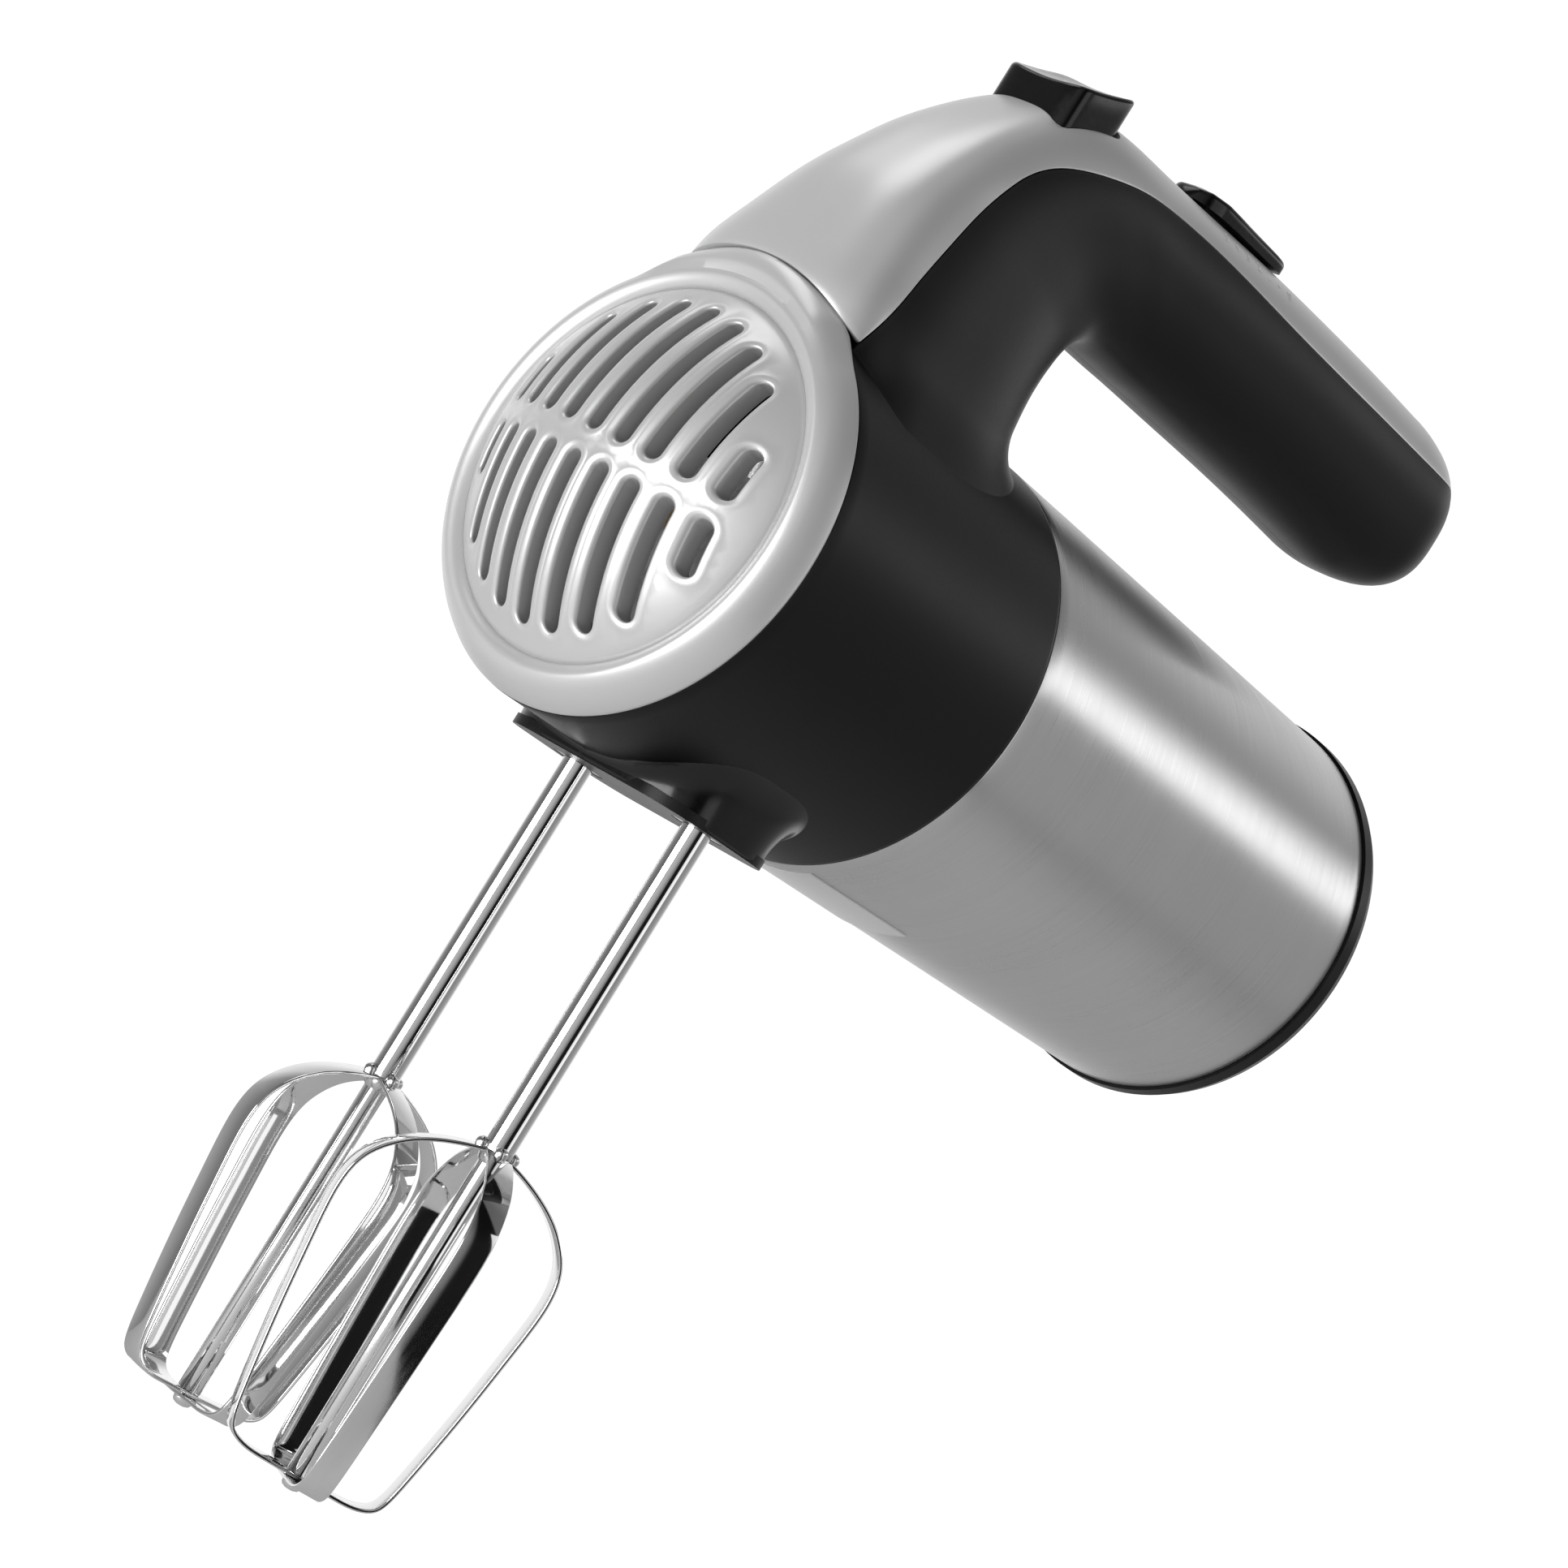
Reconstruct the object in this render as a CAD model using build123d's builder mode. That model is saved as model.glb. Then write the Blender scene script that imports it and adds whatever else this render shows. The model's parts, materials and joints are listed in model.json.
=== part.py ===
"""Hand mixer with two removable beaters, built piece by piece in millimetres.

+Z is up and the beaters hang down along -Z.  The barrel lies along Y, nose towards -Y.
The origin is the middle of the flat heel on which the mixer parks, on the barrel's axis.
"""
import os
from math import cos, degrees, pi, radians, sin, sqrt

from build123d import *

# ---------------------------------------------------------------- driving dimensions
BARREL_R = 47.0          # outside radius at the nose ring
SEAM_R = 46.4            # where the plastic barrel meets the steel sleeve
TAIL_R = 44.1            # sleeve radius at its rear end
CAP_R = 44.8             # end cap rim
WALL = 2.2               # plastic wall
SHEET = 0.8              # steel sleeve wall
RING_Y = -208.4          # joint between nose ring and plastic barrel
SEAM_Y = -135.5          # joint between plastic barrel and steel sleeve
TAIL_Y = -6.5            # rear end of the sleeve
PLATE_Y = -214.0         # rim of the domed grille plate
PLATE_R = 39.0
DOME_R = 57.0            # radius of the dome of the grille plate
SLOT_PITCH = 7.45
SLOT_W = 3.6
SLOT_ENDS = (34.3, 33.4, 30.65, 25.35, 13.2)         # outer ends, middle column first
BAR_HALF = 2.3           # half height of the bar between the two rows of slots

BEATER_Y = -167.0        # plane of the two beater axes
BEATER_X = 18.1          # half the distance between them
SHAFT_R = 3.2            # beater tube
OUTLET_Z = -49.0         # lower face of the beater outlet
WELD_Z = -121.0          # where the blades leave the tube
TIP_Z = -193.0           # bottom of the blades
BLADE_R = 23.8           # widest radius of the blades
BLADE_W = 6.0
BLADE_T = 0.8

GRIP_TOP = 113.2
GRIP_BOTTOM = 72.6
GRIP_W = 34.0
GRIP_END = -5.5
GRIP_WALL = 2.4

EJECT_TRAVEL = 6.0
SPEED_TRAVEL = 24.0
SEAM_GAP = 0.1           # half the gap between mating shells

TEETH = 28               # worm wheel
STARTS = 2               # worm
WORM_R = 3.6             # pitch radius of the worm
WHEEL_R = BEATER_X - WORM_R
AXIAL_PITCH = 2 * pi * WHEEL_R / TEETH
MODULE = AXIAL_PITCH / pi
LEAD = STARTS * AXIAL_PITCH
SPINDLE_R = 5.6
SPINDLE_BORE = SHAFT_R + 0.07
RUN = 0.04               # radial clearance of a running fit

RIBS = ((-197.5, -194.6), (-143.4, -141.0))          # bulkheads of the barrel, along Y
CAP_SCREW_X = 38.6
GRIP_SCREWS = ((-26.0, 82.0), (-132.0, 80.0))        # (y, z) of the screws across the grip
SCREW_R = 1.5
HEAD_R = 2.8
BUSH_R = 5.2             # cord bush in the end of the grip
CORD_R = 3.6             # hole for the cord
INLET_Z = 92.0
BOARD_Z = 84.0           # underside of the circuit board
SWITCH_Z = 88.0          # underside of the speed switch

BUTTON_W = 21.8
BUTTON_Y0, BUTTON_Y1 = -177.0, -160.2
SLIDER_Y0, SLIDER_Y1 = -126.0, -93.6
SLIDE_END = -96.0        # rear end of the slider's slot

OUTLET_R = 5.6
BEARING_R = 6.0
MOTOR_SHAFT_R = 3.0
WORM_BORE = 1.6
GUIDE_R = 2.0
STATOR = (-122.0, -90.0)
BORE_R = 15.0            # stator bore
FAN = (-140.0, -131.5)
BRUSH_Y = -72.0
BRUSH_HALF = 3.0
HOLDER_R = 4.4
COMMUTATOR_R = 9.0
REAR_BEARING = (-56.0, -50.0)

SPINDLE_Z = (-31.0, 14.0)
BEATER_TOP = 8.0         # how far the beater reaches up inside the spindle
EAR_Z = (-30.0, -25.0)
EAR_W = 4.6
EAR_T = 1.6
CLIP_Z = -11.0
PIN_HEAD = (20.4, 22.4)
STEM_R = 2.6

os.makedirs("parts", exist_ok=True)


def save(part, name):
    """Label a finished piece and write it."""
    part.label = name
    export_step(part, f"parts/{name}.step")


def along_y(y, x=0.0, z=0.0):
    """Plane at y whose normal points to +Y, with local x along X and local y along -Z."""
    return Plane(origin=(x, y, z), x_dir=(1, 0, 0), z_dir=(0, 1, 0))


def tube_y(y0, y1, outer, inner=0.0, x=0.0, z=0.0, mode=Mode.ADD):
    """Round bar or tube along Y, added to the part being built."""
    with BuildSketch(along_y(y0, x, z)) as ring:
        Circle(outer)
        if inner:
            Circle(inner, mode=Mode.SUBTRACT)
    return extrude(ring.sketch, amount=y1 - y0, mode=mode)


def tube_z(x, y, z0, z1, outer, inner=0.0, mode=Mode.ADD):
    """Round bar or tube along Z, added to the part being built."""
    with BuildSketch(Plane.XY.offset(z0)) as ring:
        with Locations((x, y)):
            Circle(outer)
            if inner:
                Circle(inner, mode=Mode.SUBTRACT)
    return extrude(ring.sketch, amount=z1 - z0, mode=mode)


def block(x0, x1, y0, y1, z0, z1, mode=Mode.ADD):
    """Rectangular block between two corners."""
    with Locations(((x0 + x1) / 2, (y0 + y1) / 2, (z0 + z1) / 2)):
        return Box(abs(x1 - x0), abs(y1 - y0), abs(z1 - z0), mode=mode)


def turned(points, mode=Mode.ADD):
    """Revolve a closed outline of (radius, y) points about the barrel axis."""
    with BuildSketch(Plane.XY) as outline:
        with BuildLine():
            Polyline(*points, close=True)
        make_face()
    return revolve(outline.sketch, axis=Axis.Y, mode=mode)


# ---------------------------------------------------------------- shared solids
# Handle sections from the barrel up the leg, round the bend and back along the grip:
# (y of centre, z of centre, tilt from horizontal, depth front to back, width)
HANDLE_SECTIONS = (
    (-179.5, 30.0, 0.0, 67.0, 62.0),
    (-179.8, 40.0, 0.0, 66.6, 54.0),
    (-179.6, 50.0, 0.0, 65.6, 47.0),
    (-178.2, 61.0, 3.0, 61.5, 40.5),
    (-174.0, 71.5, 12.0, 56.5, 36.5),
    (-166.5, 80.5, 25.0, 52.0, 35.0),
    (-157.0, 86.8, 42.0, 47.5, GRIP_W),
    (-145.0, 91.0, 62.0, 43.6, GRIP_W),
    (-124.0, 93.0, 90.0, 40.8, GRIP_W),
    (2.0, 92.8, 90.0, 40.6, GRIP_W),
)
CORNER_R = 13.0          # rounding of the handle's section


def handle_loft(inset):
    """The handle's body, each section drawn in by inset all round."""
    with BuildPart(mode=Mode.PRIVATE) as body:
        for y, z, tilt, depth, width in HANDLE_SECTIONS:
            a = radians(tilt)
            plane = Plane(origin=(0, y, z), x_dir=(1, 0, 0), z_dir=(0, sin(a), cos(a)))
            with BuildSketch(plane):
                RectangleRounded(width - 2 * inset, depth - 2 * inset, CORNER_R - inset)
        loft(ruled=True)
        # rounded rear end, in plan and in side view
        r = GRIP_W / 2 - inset
        end = GRIP_END - inset
        with BuildSketch(Plane.XY):
            with Locations((0, (end - r - 240) / 2)):
                Rectangle(90, 240 + end - r)
            with Locations((0, end - r)):
                Circle(r)
        extrude(amount=130, mode=Mode.INTERSECT)
        top, bottom = GRIP_TOP - inset, GRIP_BOTTOM + inset
        with BuildSketch(Plane.YZ.offset(-50)):
            with BuildLine():
                Polyline((end - 15, top + 1), (-240, top + 9), (-240, 0), (-130, 0),
                         (-130, bottom - 1), (end - 26, bottom - 1))
                Spline((end - 26, bottom - 1), (end - 6, bottom + 9), (end, bottom + 23),
                       (end - 3.5, top - 6), (end - 15, top + 1),
                       tangents=((1, 0), (-1, 0)))
            make_face()
        extrude(amount=100, mode=Mode.INTERSECT)
    return body.part


def outlet_block(z0, z1, inset, mode=Mode.ADD):
    """Upright block with the plan of the beater outlet, drawn in by inset."""
    with BuildSketch(Plane.XY.offset(z0)) as plan:
        with Locations((0, BEATER_Y - 0.5)):
            RectangleRounded(56 - 2 * inset, 36 - 2 * inset, 11 - inset)
    return extrude(plan.sketch, amount=z1 - z0, mode=mode)


def disc_x(x0, x1, y, z, radius, mode=Mode.ADD):
    """Round bar along X."""
    with BuildSketch(Plane.YZ.offset(x0)) as disc:
        with Locations((y, z)):
            Circle(radius)
    return extrude(disc.sketch, amount=x1 - x0, mode=mode)


def cover_region(gap):
    """Everything above and in front of the joint between the silver cover and the black grip."""
    with BuildPart(mode=Mode.PRIVATE) as region:
        with BuildSketch(Plane.YZ.offset(-60)):
            with BuildLine():
                Spline((-198, 30 + gap), (-195 - gap, 53), (-189 - gap, 76), (-181.5, 91 + gap),
                       (-161, 100.5 + gap), (-126, 103.3 + gap), (-60, 102.2 + gap), (8, 101.8 + gap))
                Polyline((8, 101.8 + gap), (8, 140), (-240, 140), (-240, 30 + gap), (-198, 30 + gap))
            make_face()
        extrude(amount=120)
    return region.part


handle_outer = handle_loft(0.0)
handle_inner = handle_loft(GRIP_WALL)
NECK_R = BARREL_R + 1.5  # the saddle on which the cover's foot sits
saddle = Cylinder(NECK_R, 800, rotation=(90, 0, 0))
cover_cut = cover_region(SEAM_GAP) - Cylinder(NECK_R + SEAM_GAP, 800, rotation=(90, 0, 0))
grip_cut = cover_region(-SEAM_GAP) - Cylinder(NECK_R - SEAM_GAP, 800, rotation=(90, 0, 0))

# ---------------------------------------------------------------- housing halves
UNDER_R = SEAM_R - SHEET - 0.05        # plastic barrel inside the steel sleeve, front
UNDER_TAIL_R = TAIL_R - SHEET - 0.05   # and rear

with BuildPart() as housing:
    turned([(0, RING_Y), (BARREL_R, RING_Y), (SEAM_R, SEAM_Y), (UNDER_R, SEAM_Y),
            (UNDER_TAIL_R, TAIL_Y), (0, TAIL_Y)])
    add(handle_outer)
    outlet_block(OUTLET_Z + 2.2, -25, 0)
    # only the nose ring and the cover stand in front of the barrel
    block(-60, 60, -260, RING_Y + SEAM_GAP, -60, 60, mode=Mode.SUBTRACT)
    add(grip_cut, mode=Mode.SUBTRACT)
    add(handle_inner, mode=Mode.SUBTRACT)
    turned([(0, RING_Y - 5), (BARREL_R - WALL, RING_Y - 5), (SEAM_R - WALL - SHEET, SEAM_Y - 3),
            (UNDER_TAIL_R - WALL, TAIL_Y + 1), (0, TAIL_Y + 1)], mode=Mode.SUBTRACT)
    outlet_block(OUTLET_Z - 5, -24, WALL, mode=Mode.SUBTRACT)
    # ribs that clamp the gear frame
    for y0, y1 in RIBS:
        with BuildSketch(along_y(y0)) as rib:
            Circle(BARREL_R - WALL + 0.1)
            Rectangle(48, 44, mode=Mode.SUBTRACT)
            with Locations((0, 40)):
                Rectangle(44, 30, mode=Mode.SUBTRACT)
        extrude(rib.sketch, amount=y1 - y0)
    for side in (-1, 1):
        # saddle that carries the motor, and the boss for a screw of the rear cap
        block(side * 28.1, side * 43.5, -112, -102, -9, 9)
        tube_y(-24, TAIL_Y, 3.8, x=side * CAP_SCREW_X)
        # ledges under the circuit board and the speed switch
        block(side * 12.5, side * 15.2, -90, -46, 81.5, BOARD_Z - 0.05)
        block(side * 8.0, side * 15.2, -146, -100, 85, SWITCH_Z - 0.05)
    for y, z in GRIP_SCREWS:
        disc_x(1.6 - GRIP_W / 2, GRIP_W / 2 - 1.6, y, z, 3.6)
    # screw holes and the cord inlet
    for side in (-1, 1):
        tube_y(-22, TAIL_Y + 1, 1.3, x=side * CAP_SCREW_X, mode=Mode.SUBTRACT)
    for y, z in GRIP_SCREWS:
        disc_x(-12.1, 11, y, z, SCREW_R + 0.05, mode=Mode.SUBTRACT)
        disc_x(-30, -12, y, z, HEAD_R + 0.1, mode=Mode.SUBTRACT)
    tube_y(-20, 10, BUSH_R, z=INLET_Z, mode=Mode.SUBTRACT)

for side, name in ((-1, "housing_left"), (1, "housing_right")):
    with BuildPart() as half:
        add(housing.part)
        block(0, side * 80, -260, 40, -80, 140, mode=Mode.INTERSECT)
    save(half.part, name)

# ---------------------------------------------------------------- silver cover and nose grille
with BuildPart() as top_cover:
    add(handle_outer)
    add(handle_inner, mode=Mode.SUBTRACT)
    add(cover_cut, mode=Mode.INTERSECT)
    block(-BUTTON_W / 2 - 0.4, BUTTON_W / 2 + 0.4, BUTTON_Y0 - 0.4, BUTTON_Y1 + 0.4, 60, 130,
          mode=Mode.SUBTRACT)
    block(-3.2, 3.2, SLIDER_Y0 + 6 - SPEED_TRAVEL, SLIDE_END, 105, 130, mode=Mode.SUBTRACT)
save(top_cover.part, "top_cover")

# saddle on top of the nose ring, on which the front of the cover sits
with BuildPart() as saddle_piece:
    add(handle_outer)
    add(saddle, mode=Mode.INTERSECT)
    block(-60, 60, -240, RING_Y, 30, 80, mode=Mode.INTERSECT)
    tube_y(-240, -200, BARREL_R - 1.6, mode=Mode.SUBTRACT)
ring_saddle = saddle_piece.part

dome_centre = PLATE_Y + sqrt(DOME_R ** 2 - PLATE_R ** 2)
PLATE_T = 2.4
with BuildPart() as nose_grille:
    with BuildSketch(Plane.XY) as section:
        with BuildLine():
            outer_mid = (DOME_R * sin(radians(21)), dome_centre - DOME_R * cos(radians(21)))
            inner_r = DOME_R - PLATE_T
            inner_edge = (36.0, dome_centre - sqrt(inner_r ** 2 - 36.0 ** 2))
            inner_mid = (inner_r * sin(radians(20)), dome_centre - inner_r * cos(radians(20)))
            ThreePointArc((0, dome_centre - DOME_R), outer_mid, (PLATE_R, PLATE_Y))
            Spline((PLATE_R, PLATE_Y), (42.8, -215.6), (46.2, -212.6), (BARREL_R, RING_Y),
                   tangents=((1, -0.2), (0.05, 1)))
            Polyline((BARREL_R, RING_Y), (BARREL_R - WALL, RING_Y), (43.6, -211.6), inner_edge)
            ThreePointArc(inner_edge, inner_mid, (0, dome_centre - inner_r))
            Line((0, dome_centre - inner_r), (0, dome_centre - DOME_R))
        make_face()
    revolve(section.sketch, axis=Axis.Y)
    for column in range(-4, 5):
        x = column * SLOT_PITCH
        reach = SLOT_ENDS[abs(column)]
        for side in (-1, 1):
            height = reach - BAR_HALF
            with BuildSketch(along_y(-240, x, side * (BAR_HALF + height / 2))) as slot:
                SlotOverall(height, SLOT_W, rotation=90)
            extrude(slot.sketch, amount=24 if abs(column) < 4 else 28, mode=Mode.SUBTRACT)
    add(ring_saddle)
save(nose_grille.part, "nose_grille")

# ---------------------------------------------------------------- barrel rear
with BuildPart() as steel_sleeve:
    turned([(SEAM_R, SEAM_Y), (SEAM_R - SHEET, SEAM_Y), (TAIL_R - SHEET, TAIL_Y), (TAIL_R, TAIL_Y)])
save(steel_sleeve.part, "steel_sleeve")

with BuildPart() as end_cap:
    spigot = UNDER_TAIL_R - WALL - 0.1
    turned([(0, 0), (42.1, 0), (43.9, -1.2), (CAP_R, -3.4), (CAP_R, TAIL_Y + 0.02),
            (spigot, TAIL_Y + 0.02), (spigot, -12), (spigot - 1.8, -12),
            (spigot - 1.8, TAIL_Y + 0.02), (33, TAIL_Y + 0.02), (33, -2.4), (0, -2.4)])
    for row in range(-3, 4):
        for side in (-1, 1):
            with BuildSketch(along_y(-5, side * 13.5, row * 6.0)) as vent:
                SlotOverall(20, 2.6)
            extrude(vent.sketch, amount=10, mode=Mode.SUBTRACT)
    for side in (-1, 1):
        # room for the boss of the housing, then a sunk screw hole
        tube_y(-14, TAIL_Y + 0.02, 4.3, x=side * CAP_SCREW_X, mode=Mode.SUBTRACT)
        tube_y(-14, 2, SCREW_R + 0.05, x=side * CAP_SCREW_X, mode=Mode.SUBTRACT)
        tube_y(-4, 2, HEAD_R + 0.1, x=side * CAP_SCREW_X, mode=Mode.SUBTRACT)
save(end_cap.part, "end_cap")

with BuildPart() as outlet_plate:
    outlet_block(OUTLET_Z, OUTLET_Z + 2.1, 0.4)
    for side in (-1, 1):
        tube_z(side * BEATER_X, BEATER_Y, OUTLET_Z, OUTLET_Z + 5, 7.4)
        tube_z(side * BEATER_X, BEATER_Y, OUTLET_Z - 1, OUTLET_Z + 6, OUTLET_R, mode=Mode.SUBTRACT)
save(outlet_plate.part, "outlet_plate")


def sleeve_radius(y):
    """Outside radius of the steel sleeve at y."""
    return SEAM_R + (TAIL_R - SEAM_R) * (y - SEAM_Y) / (TAIL_Y - SEAM_Y)


RATING = (SEAM_Y + 4, SEAM_Y + 38)
with BuildPart() as rating_plate:
    # thin blank plate on the underside of the sleeve, curved with it
    front, rear = sleeve_radius(RATING[0]), sleeve_radius(RATING[1])
    turned([(front + 0.02, RATING[0]), (front + 0.3, RATING[0]),
            (rear + 0.3, RATING[1]), (rear + 0.02, RATING[1])])
    block(-17, 17, -200, 0, -60, -20, mode=Mode.INTERSECT)
save(rating_plate.part, "rating_plate")

# ---------------------------------------------------------------- gear frame
FLOOR = (-26.0, -20.0)
LID = (9.0, 12.0)
FRONT_WALL = (-194.5, -189.5)
REAR_WALL = (-148.5, -143.5)
FRAME_X = 27.5
BUSH_OUT = SPINDLE_R + 2.0

with BuildPart() as gear_frame:
    block(-FRAME_X, FRAME_X, FRONT_WALL[0], REAR_WALL[1], FLOOR[0], FLOOR[1])
    for y0, y1 in (FRONT_WALL, REAR_WALL):
        block(-FRAME_X, FRAME_X, y0, y1, FLOOR[0], LID[0])
        with BuildSketch(along_y(y0)) as hole:
            Circle(BEARING_R)
        extrude(hole.sketch, amount=y1 - y0, mode=Mode.SUBTRACT)
    for side in (-1, 1):
        tube_z(side * BEATER_X, BEATER_Y, -40, FLOOR[1] + 1, BUSH_OUT, mode=Mode.SUBTRACT)
        for y0, y1 in (FRONT_WALL, REAR_WALL):
            tube_z(side * 22, (y0 + y1) / 2, -4, LID[0] + 1, SCREW_R, mode=Mode.SUBTRACT)
save(gear_frame.part, "gear_frame")

with BuildPart() as gear_lid:
    block(-FRAME_X, FRAME_X, FRONT_WALL[0], REAR_WALL[1], LID[0], LID[1])
    for side in (-1, 1):
        tube_z(side * BEATER_X, BEATER_Y, 0, 20, BUSH_OUT, mode=Mode.SUBTRACT)
        for y0, y1 in (FRONT_WALL, REAR_WALL):
            tube_z(side * 22, (y0 + y1) / 2, 0, 20, SCREW_R + 0.05, mode=Mode.SUBTRACT)
    tube_z(0, BEATER_Y, 0, 20, GUIDE_R + 0.15, mode=Mode.SUBTRACT)
save(gear_lid.part, "gear_lid")

with BuildPart() as frame_screws:
    for side in (-1, 1):
        for y0, y1 in (FRONT_WALL, REAR_WALL):
            tube_z(side * 22, (y0 + y1) / 2, -3, LID[1], SCREW_R)
            tube_z(side * 22, (y0 + y1) / 2, LID[1], LID[1] + 2, HEAD_R)
            block(side * 22 - 2.2, side * 22 + 2.2, (y0 + y1) / 2 - 0.4, (y0 + y1) / 2 + 0.4,
                  LID[1] + 1.2, LID[1] + 3, mode=Mode.SUBTRACT)
save(frame_screws.part, "frame_screws")

with BuildPart() as spindle_bushes:
    for side in (-1, 1):
        for z0, z1 in (FLOOR, LID):
            tube_z(side * BEATER_X, BEATER_Y, z0, z1, BUSH_OUT, SPINDLE_R + RUN)
save(spindle_bushes.part, "spindle_bushes")

with BuildPart() as shaft_bearings:
    tube_y(FRONT_WALL[0], FRONT_WALL[1], BEARING_R, WORM_BORE + RUN)
    tube_y(REAR_WALL[0], REAR_WALL[1], BEARING_R, MOTOR_SHAFT_R + RUN)
    tube_y(REAR_BEARING[0], REAR_BEARING[1], BEARING_R, MOTOR_SHAFT_R + RUN)
save(shaft_bearings.part, "shaft_bearings")

# ---------------------------------------------------------------- motor
with BuildPart() as stator_core:
    with BuildSketch(along_y(STATOR[0])) as lamination:
        RectangleRounded(56, 50, 9)
        Circle(BORE_R, mode=Mode.SUBTRACT)
        for side in (-1, 1):
            with Locations((0, side * 18)):
                RectangleRounded(34, 6.4, 2.5, mode=Mode.SUBTRACT)
            for end in (-1, 1):
                with Locations((side * 23.5, end * 19.5)):
                    Circle(1.8, mode=Mode.SUBTRACT)
    extrude(lamination.sketch, amount=STATOR[1] - STATOR[0])
save(stator_core.part, "stator_core")

with BuildPart() as field_coils:
    for side in (-1, 1):
        block(-15.5, 15.5, STATOR[0] - 7, STATOR[1] + 7, side * 15.4, side * 20.6)
        for y0, y1 in ((STATOR[0] - 7, STATOR[0] - 0.1), (STATOR[1] + 0.1, STATOR[1] + 7)):
            block(-19.5, 19.5, y0, y1, side * 14, side * 22)
save(field_coils.part, "field_coils")

with BuildPart() as rear_bracket:
    y0, y1 = REAR_BEARING
    block(-29, 29, y0, y1, -8, 8)
    for side in (-1, 1):
        block(side * 24.6, side * 27.9, STATOR[1], y1, -8, 8)
        disc_x(side * 29, side * 20, BRUSH_Y, 0, HOLDER_R, mode=Mode.SUBTRACT)
    with BuildSketch(along_y(y0)) as seat:
        Circle(BEARING_R)
    extrude(seat.sketch, amount=y1 - y0, mode=Mode.SUBTRACT)
save(rear_bracket.part, "rear_bracket")

for name, start, end, outer, inner in (
    ("brush_holders", 11.5, 33.0, HOLDER_R, BRUSH_HALF + 0.6),
    ("carbon_brushes", COMMUTATOR_R + 0.15, 20.0, BRUSH_HALF, 0.0),
):
    with BuildPart() as pair:
        for side in (-1, 1):
            disc_x(side * start, side * end, BRUSH_Y, 0, outer)
            if inner:
                disc_x(side * start, side * (end - 1.5), BRUSH_Y, 0, inner, mode=Mode.SUBTRACT)
    save(pair.part, name)

with BuildPart() as brush_springs:
    for side in (-1, 1):
        for turn in range(4):
            x = side * (20.4 + 2.8 * turn)
            disc_x(x, x + side * 2.0, BRUSH_Y, 0, BRUSH_HALF)
            disc_x(x, x + side * 2.0, BRUSH_Y, 0, BRUSH_HALF - 0.7, mode=Mode.SUBTRACT)
            if turn < 3:
                block(x, x + side * 3.6, BRUSH_Y - 0.5, BRUSH_Y + 0.5, BRUSH_HALF - 0.7, BRUSH_HALF - 0.1)
save(brush_springs.part, "brush_springs")

# ---------------------------------------------------------------- armature
with BuildPart() as armature_shaft:
    tube_y(-197.0, REAR_WALL[0] - 1, WORM_BORE)
    tube_y(REAR_WALL[0] - 1, REAR_BEARING[1] + 2, MOTOR_SHAFT_R)
save(armature_shaft.part, "armature_shaft")

with BuildPart() as armature_core:
    with BuildSketch(along_y(STATOR[0] + 1)) as lamination:
        Circle(BORE_R - 0.6)
        Circle(MOTOR_SHAFT_R, mode=Mode.SUBTRACT)
        with PolarLocations(BORE_R - 3.6, 11):
            Circle(1.9, mode=Mode.SUBTRACT)
        with PolarLocations(BORE_R - 1.4, 11):
            Rectangle(3.4, 1.4, mode=Mode.SUBTRACT)
    extrude(lamination.sketch, amount=STATOR[1] - STATOR[0] - 2)
save(armature_core.part, "armature_core")

with BuildPart() as armature_windings:
    for y0, y1 in ((STATOR[0] - 6, STATOR[0] + 1), (STATOR[1] - 1, STATOR[1] + 6)):
        tube_y(y0, y1, BORE_R - 2.0, MOTOR_SHAFT_R + 0.02)
    fillet(armature_windings.part.edges().filter_by(GeomType.CIRCLE).filter_by(
        lambda e: e.radius > 8), radius=2.0)
    with BuildSketch(along_y(STATOR[0])) as slots:
        with PolarLocations(BORE_R - 3.6, 11):
            Circle(1.8)
    extrude(slots.sketch, amount=STATOR[1] - STATOR[0])
save(armature_windings.part, "armature_windings")

with BuildPart() as commutator:
    tube_y(BRUSH_Y - 7, BRUSH_Y + 7, COMMUTATOR_R, MOTOR_SHAFT_R)
    for bar in range(22):
        angle = 360 / 22 * bar
        with BuildSketch(along_y(BRUSH_Y - 5)) as cut:
            with PolarLocations(COMMUTATOR_R, 1, start_angle=angle):
                Rectangle(1.2, 0.4)
        extrude(cut.sketch, amount=12, mode=Mode.SUBTRACT)
save(commutator.part, "commutator")

with BuildPart() as cooling_fan:
    y0 = FAN[0]
    tube_y(y0, FAN[1], 6.5, MOTOR_SHAFT_R)
    with BuildSketch(along_y(y0)) as disc:
        Circle(24)
        Circle(6.4, mode=Mode.SUBTRACT)
    extrude(disc.sketch, amount=1.4)
    with BuildSketch(along_y(y0 + 1.3)) as blades:
        with PolarLocations(15, 12):
            Rectangle(17.6, 1.2, rotation=18)
    extrude(blades.sketch, amount=FAN[1] - y0 - 1.3)
save(cooling_fan.part, "cooling_fan")


def worm_section(turn):
    """Cross-section of the worm at one place along its axis, turned by an angle in degrees."""
    points = []
    root, tip = WORM_R - 1.25 * MODULE * 0.92, WORM_R + 0.8 * MODULE
    # radius of the thread at each place round the section, as a share of one start's turn
    profile = ((0.0, root), (0.21, root), (0.36, tip), (0.48, tip), (0.52, tip), (0.64, tip), (0.79, root))
    for start in range(STARTS):
        for share, radius in profile:
            a = radians(turn + (start + share) * 360 / STARTS)
            points.append((radius * sin(a), radius * cos(a)))
    return points


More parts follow.
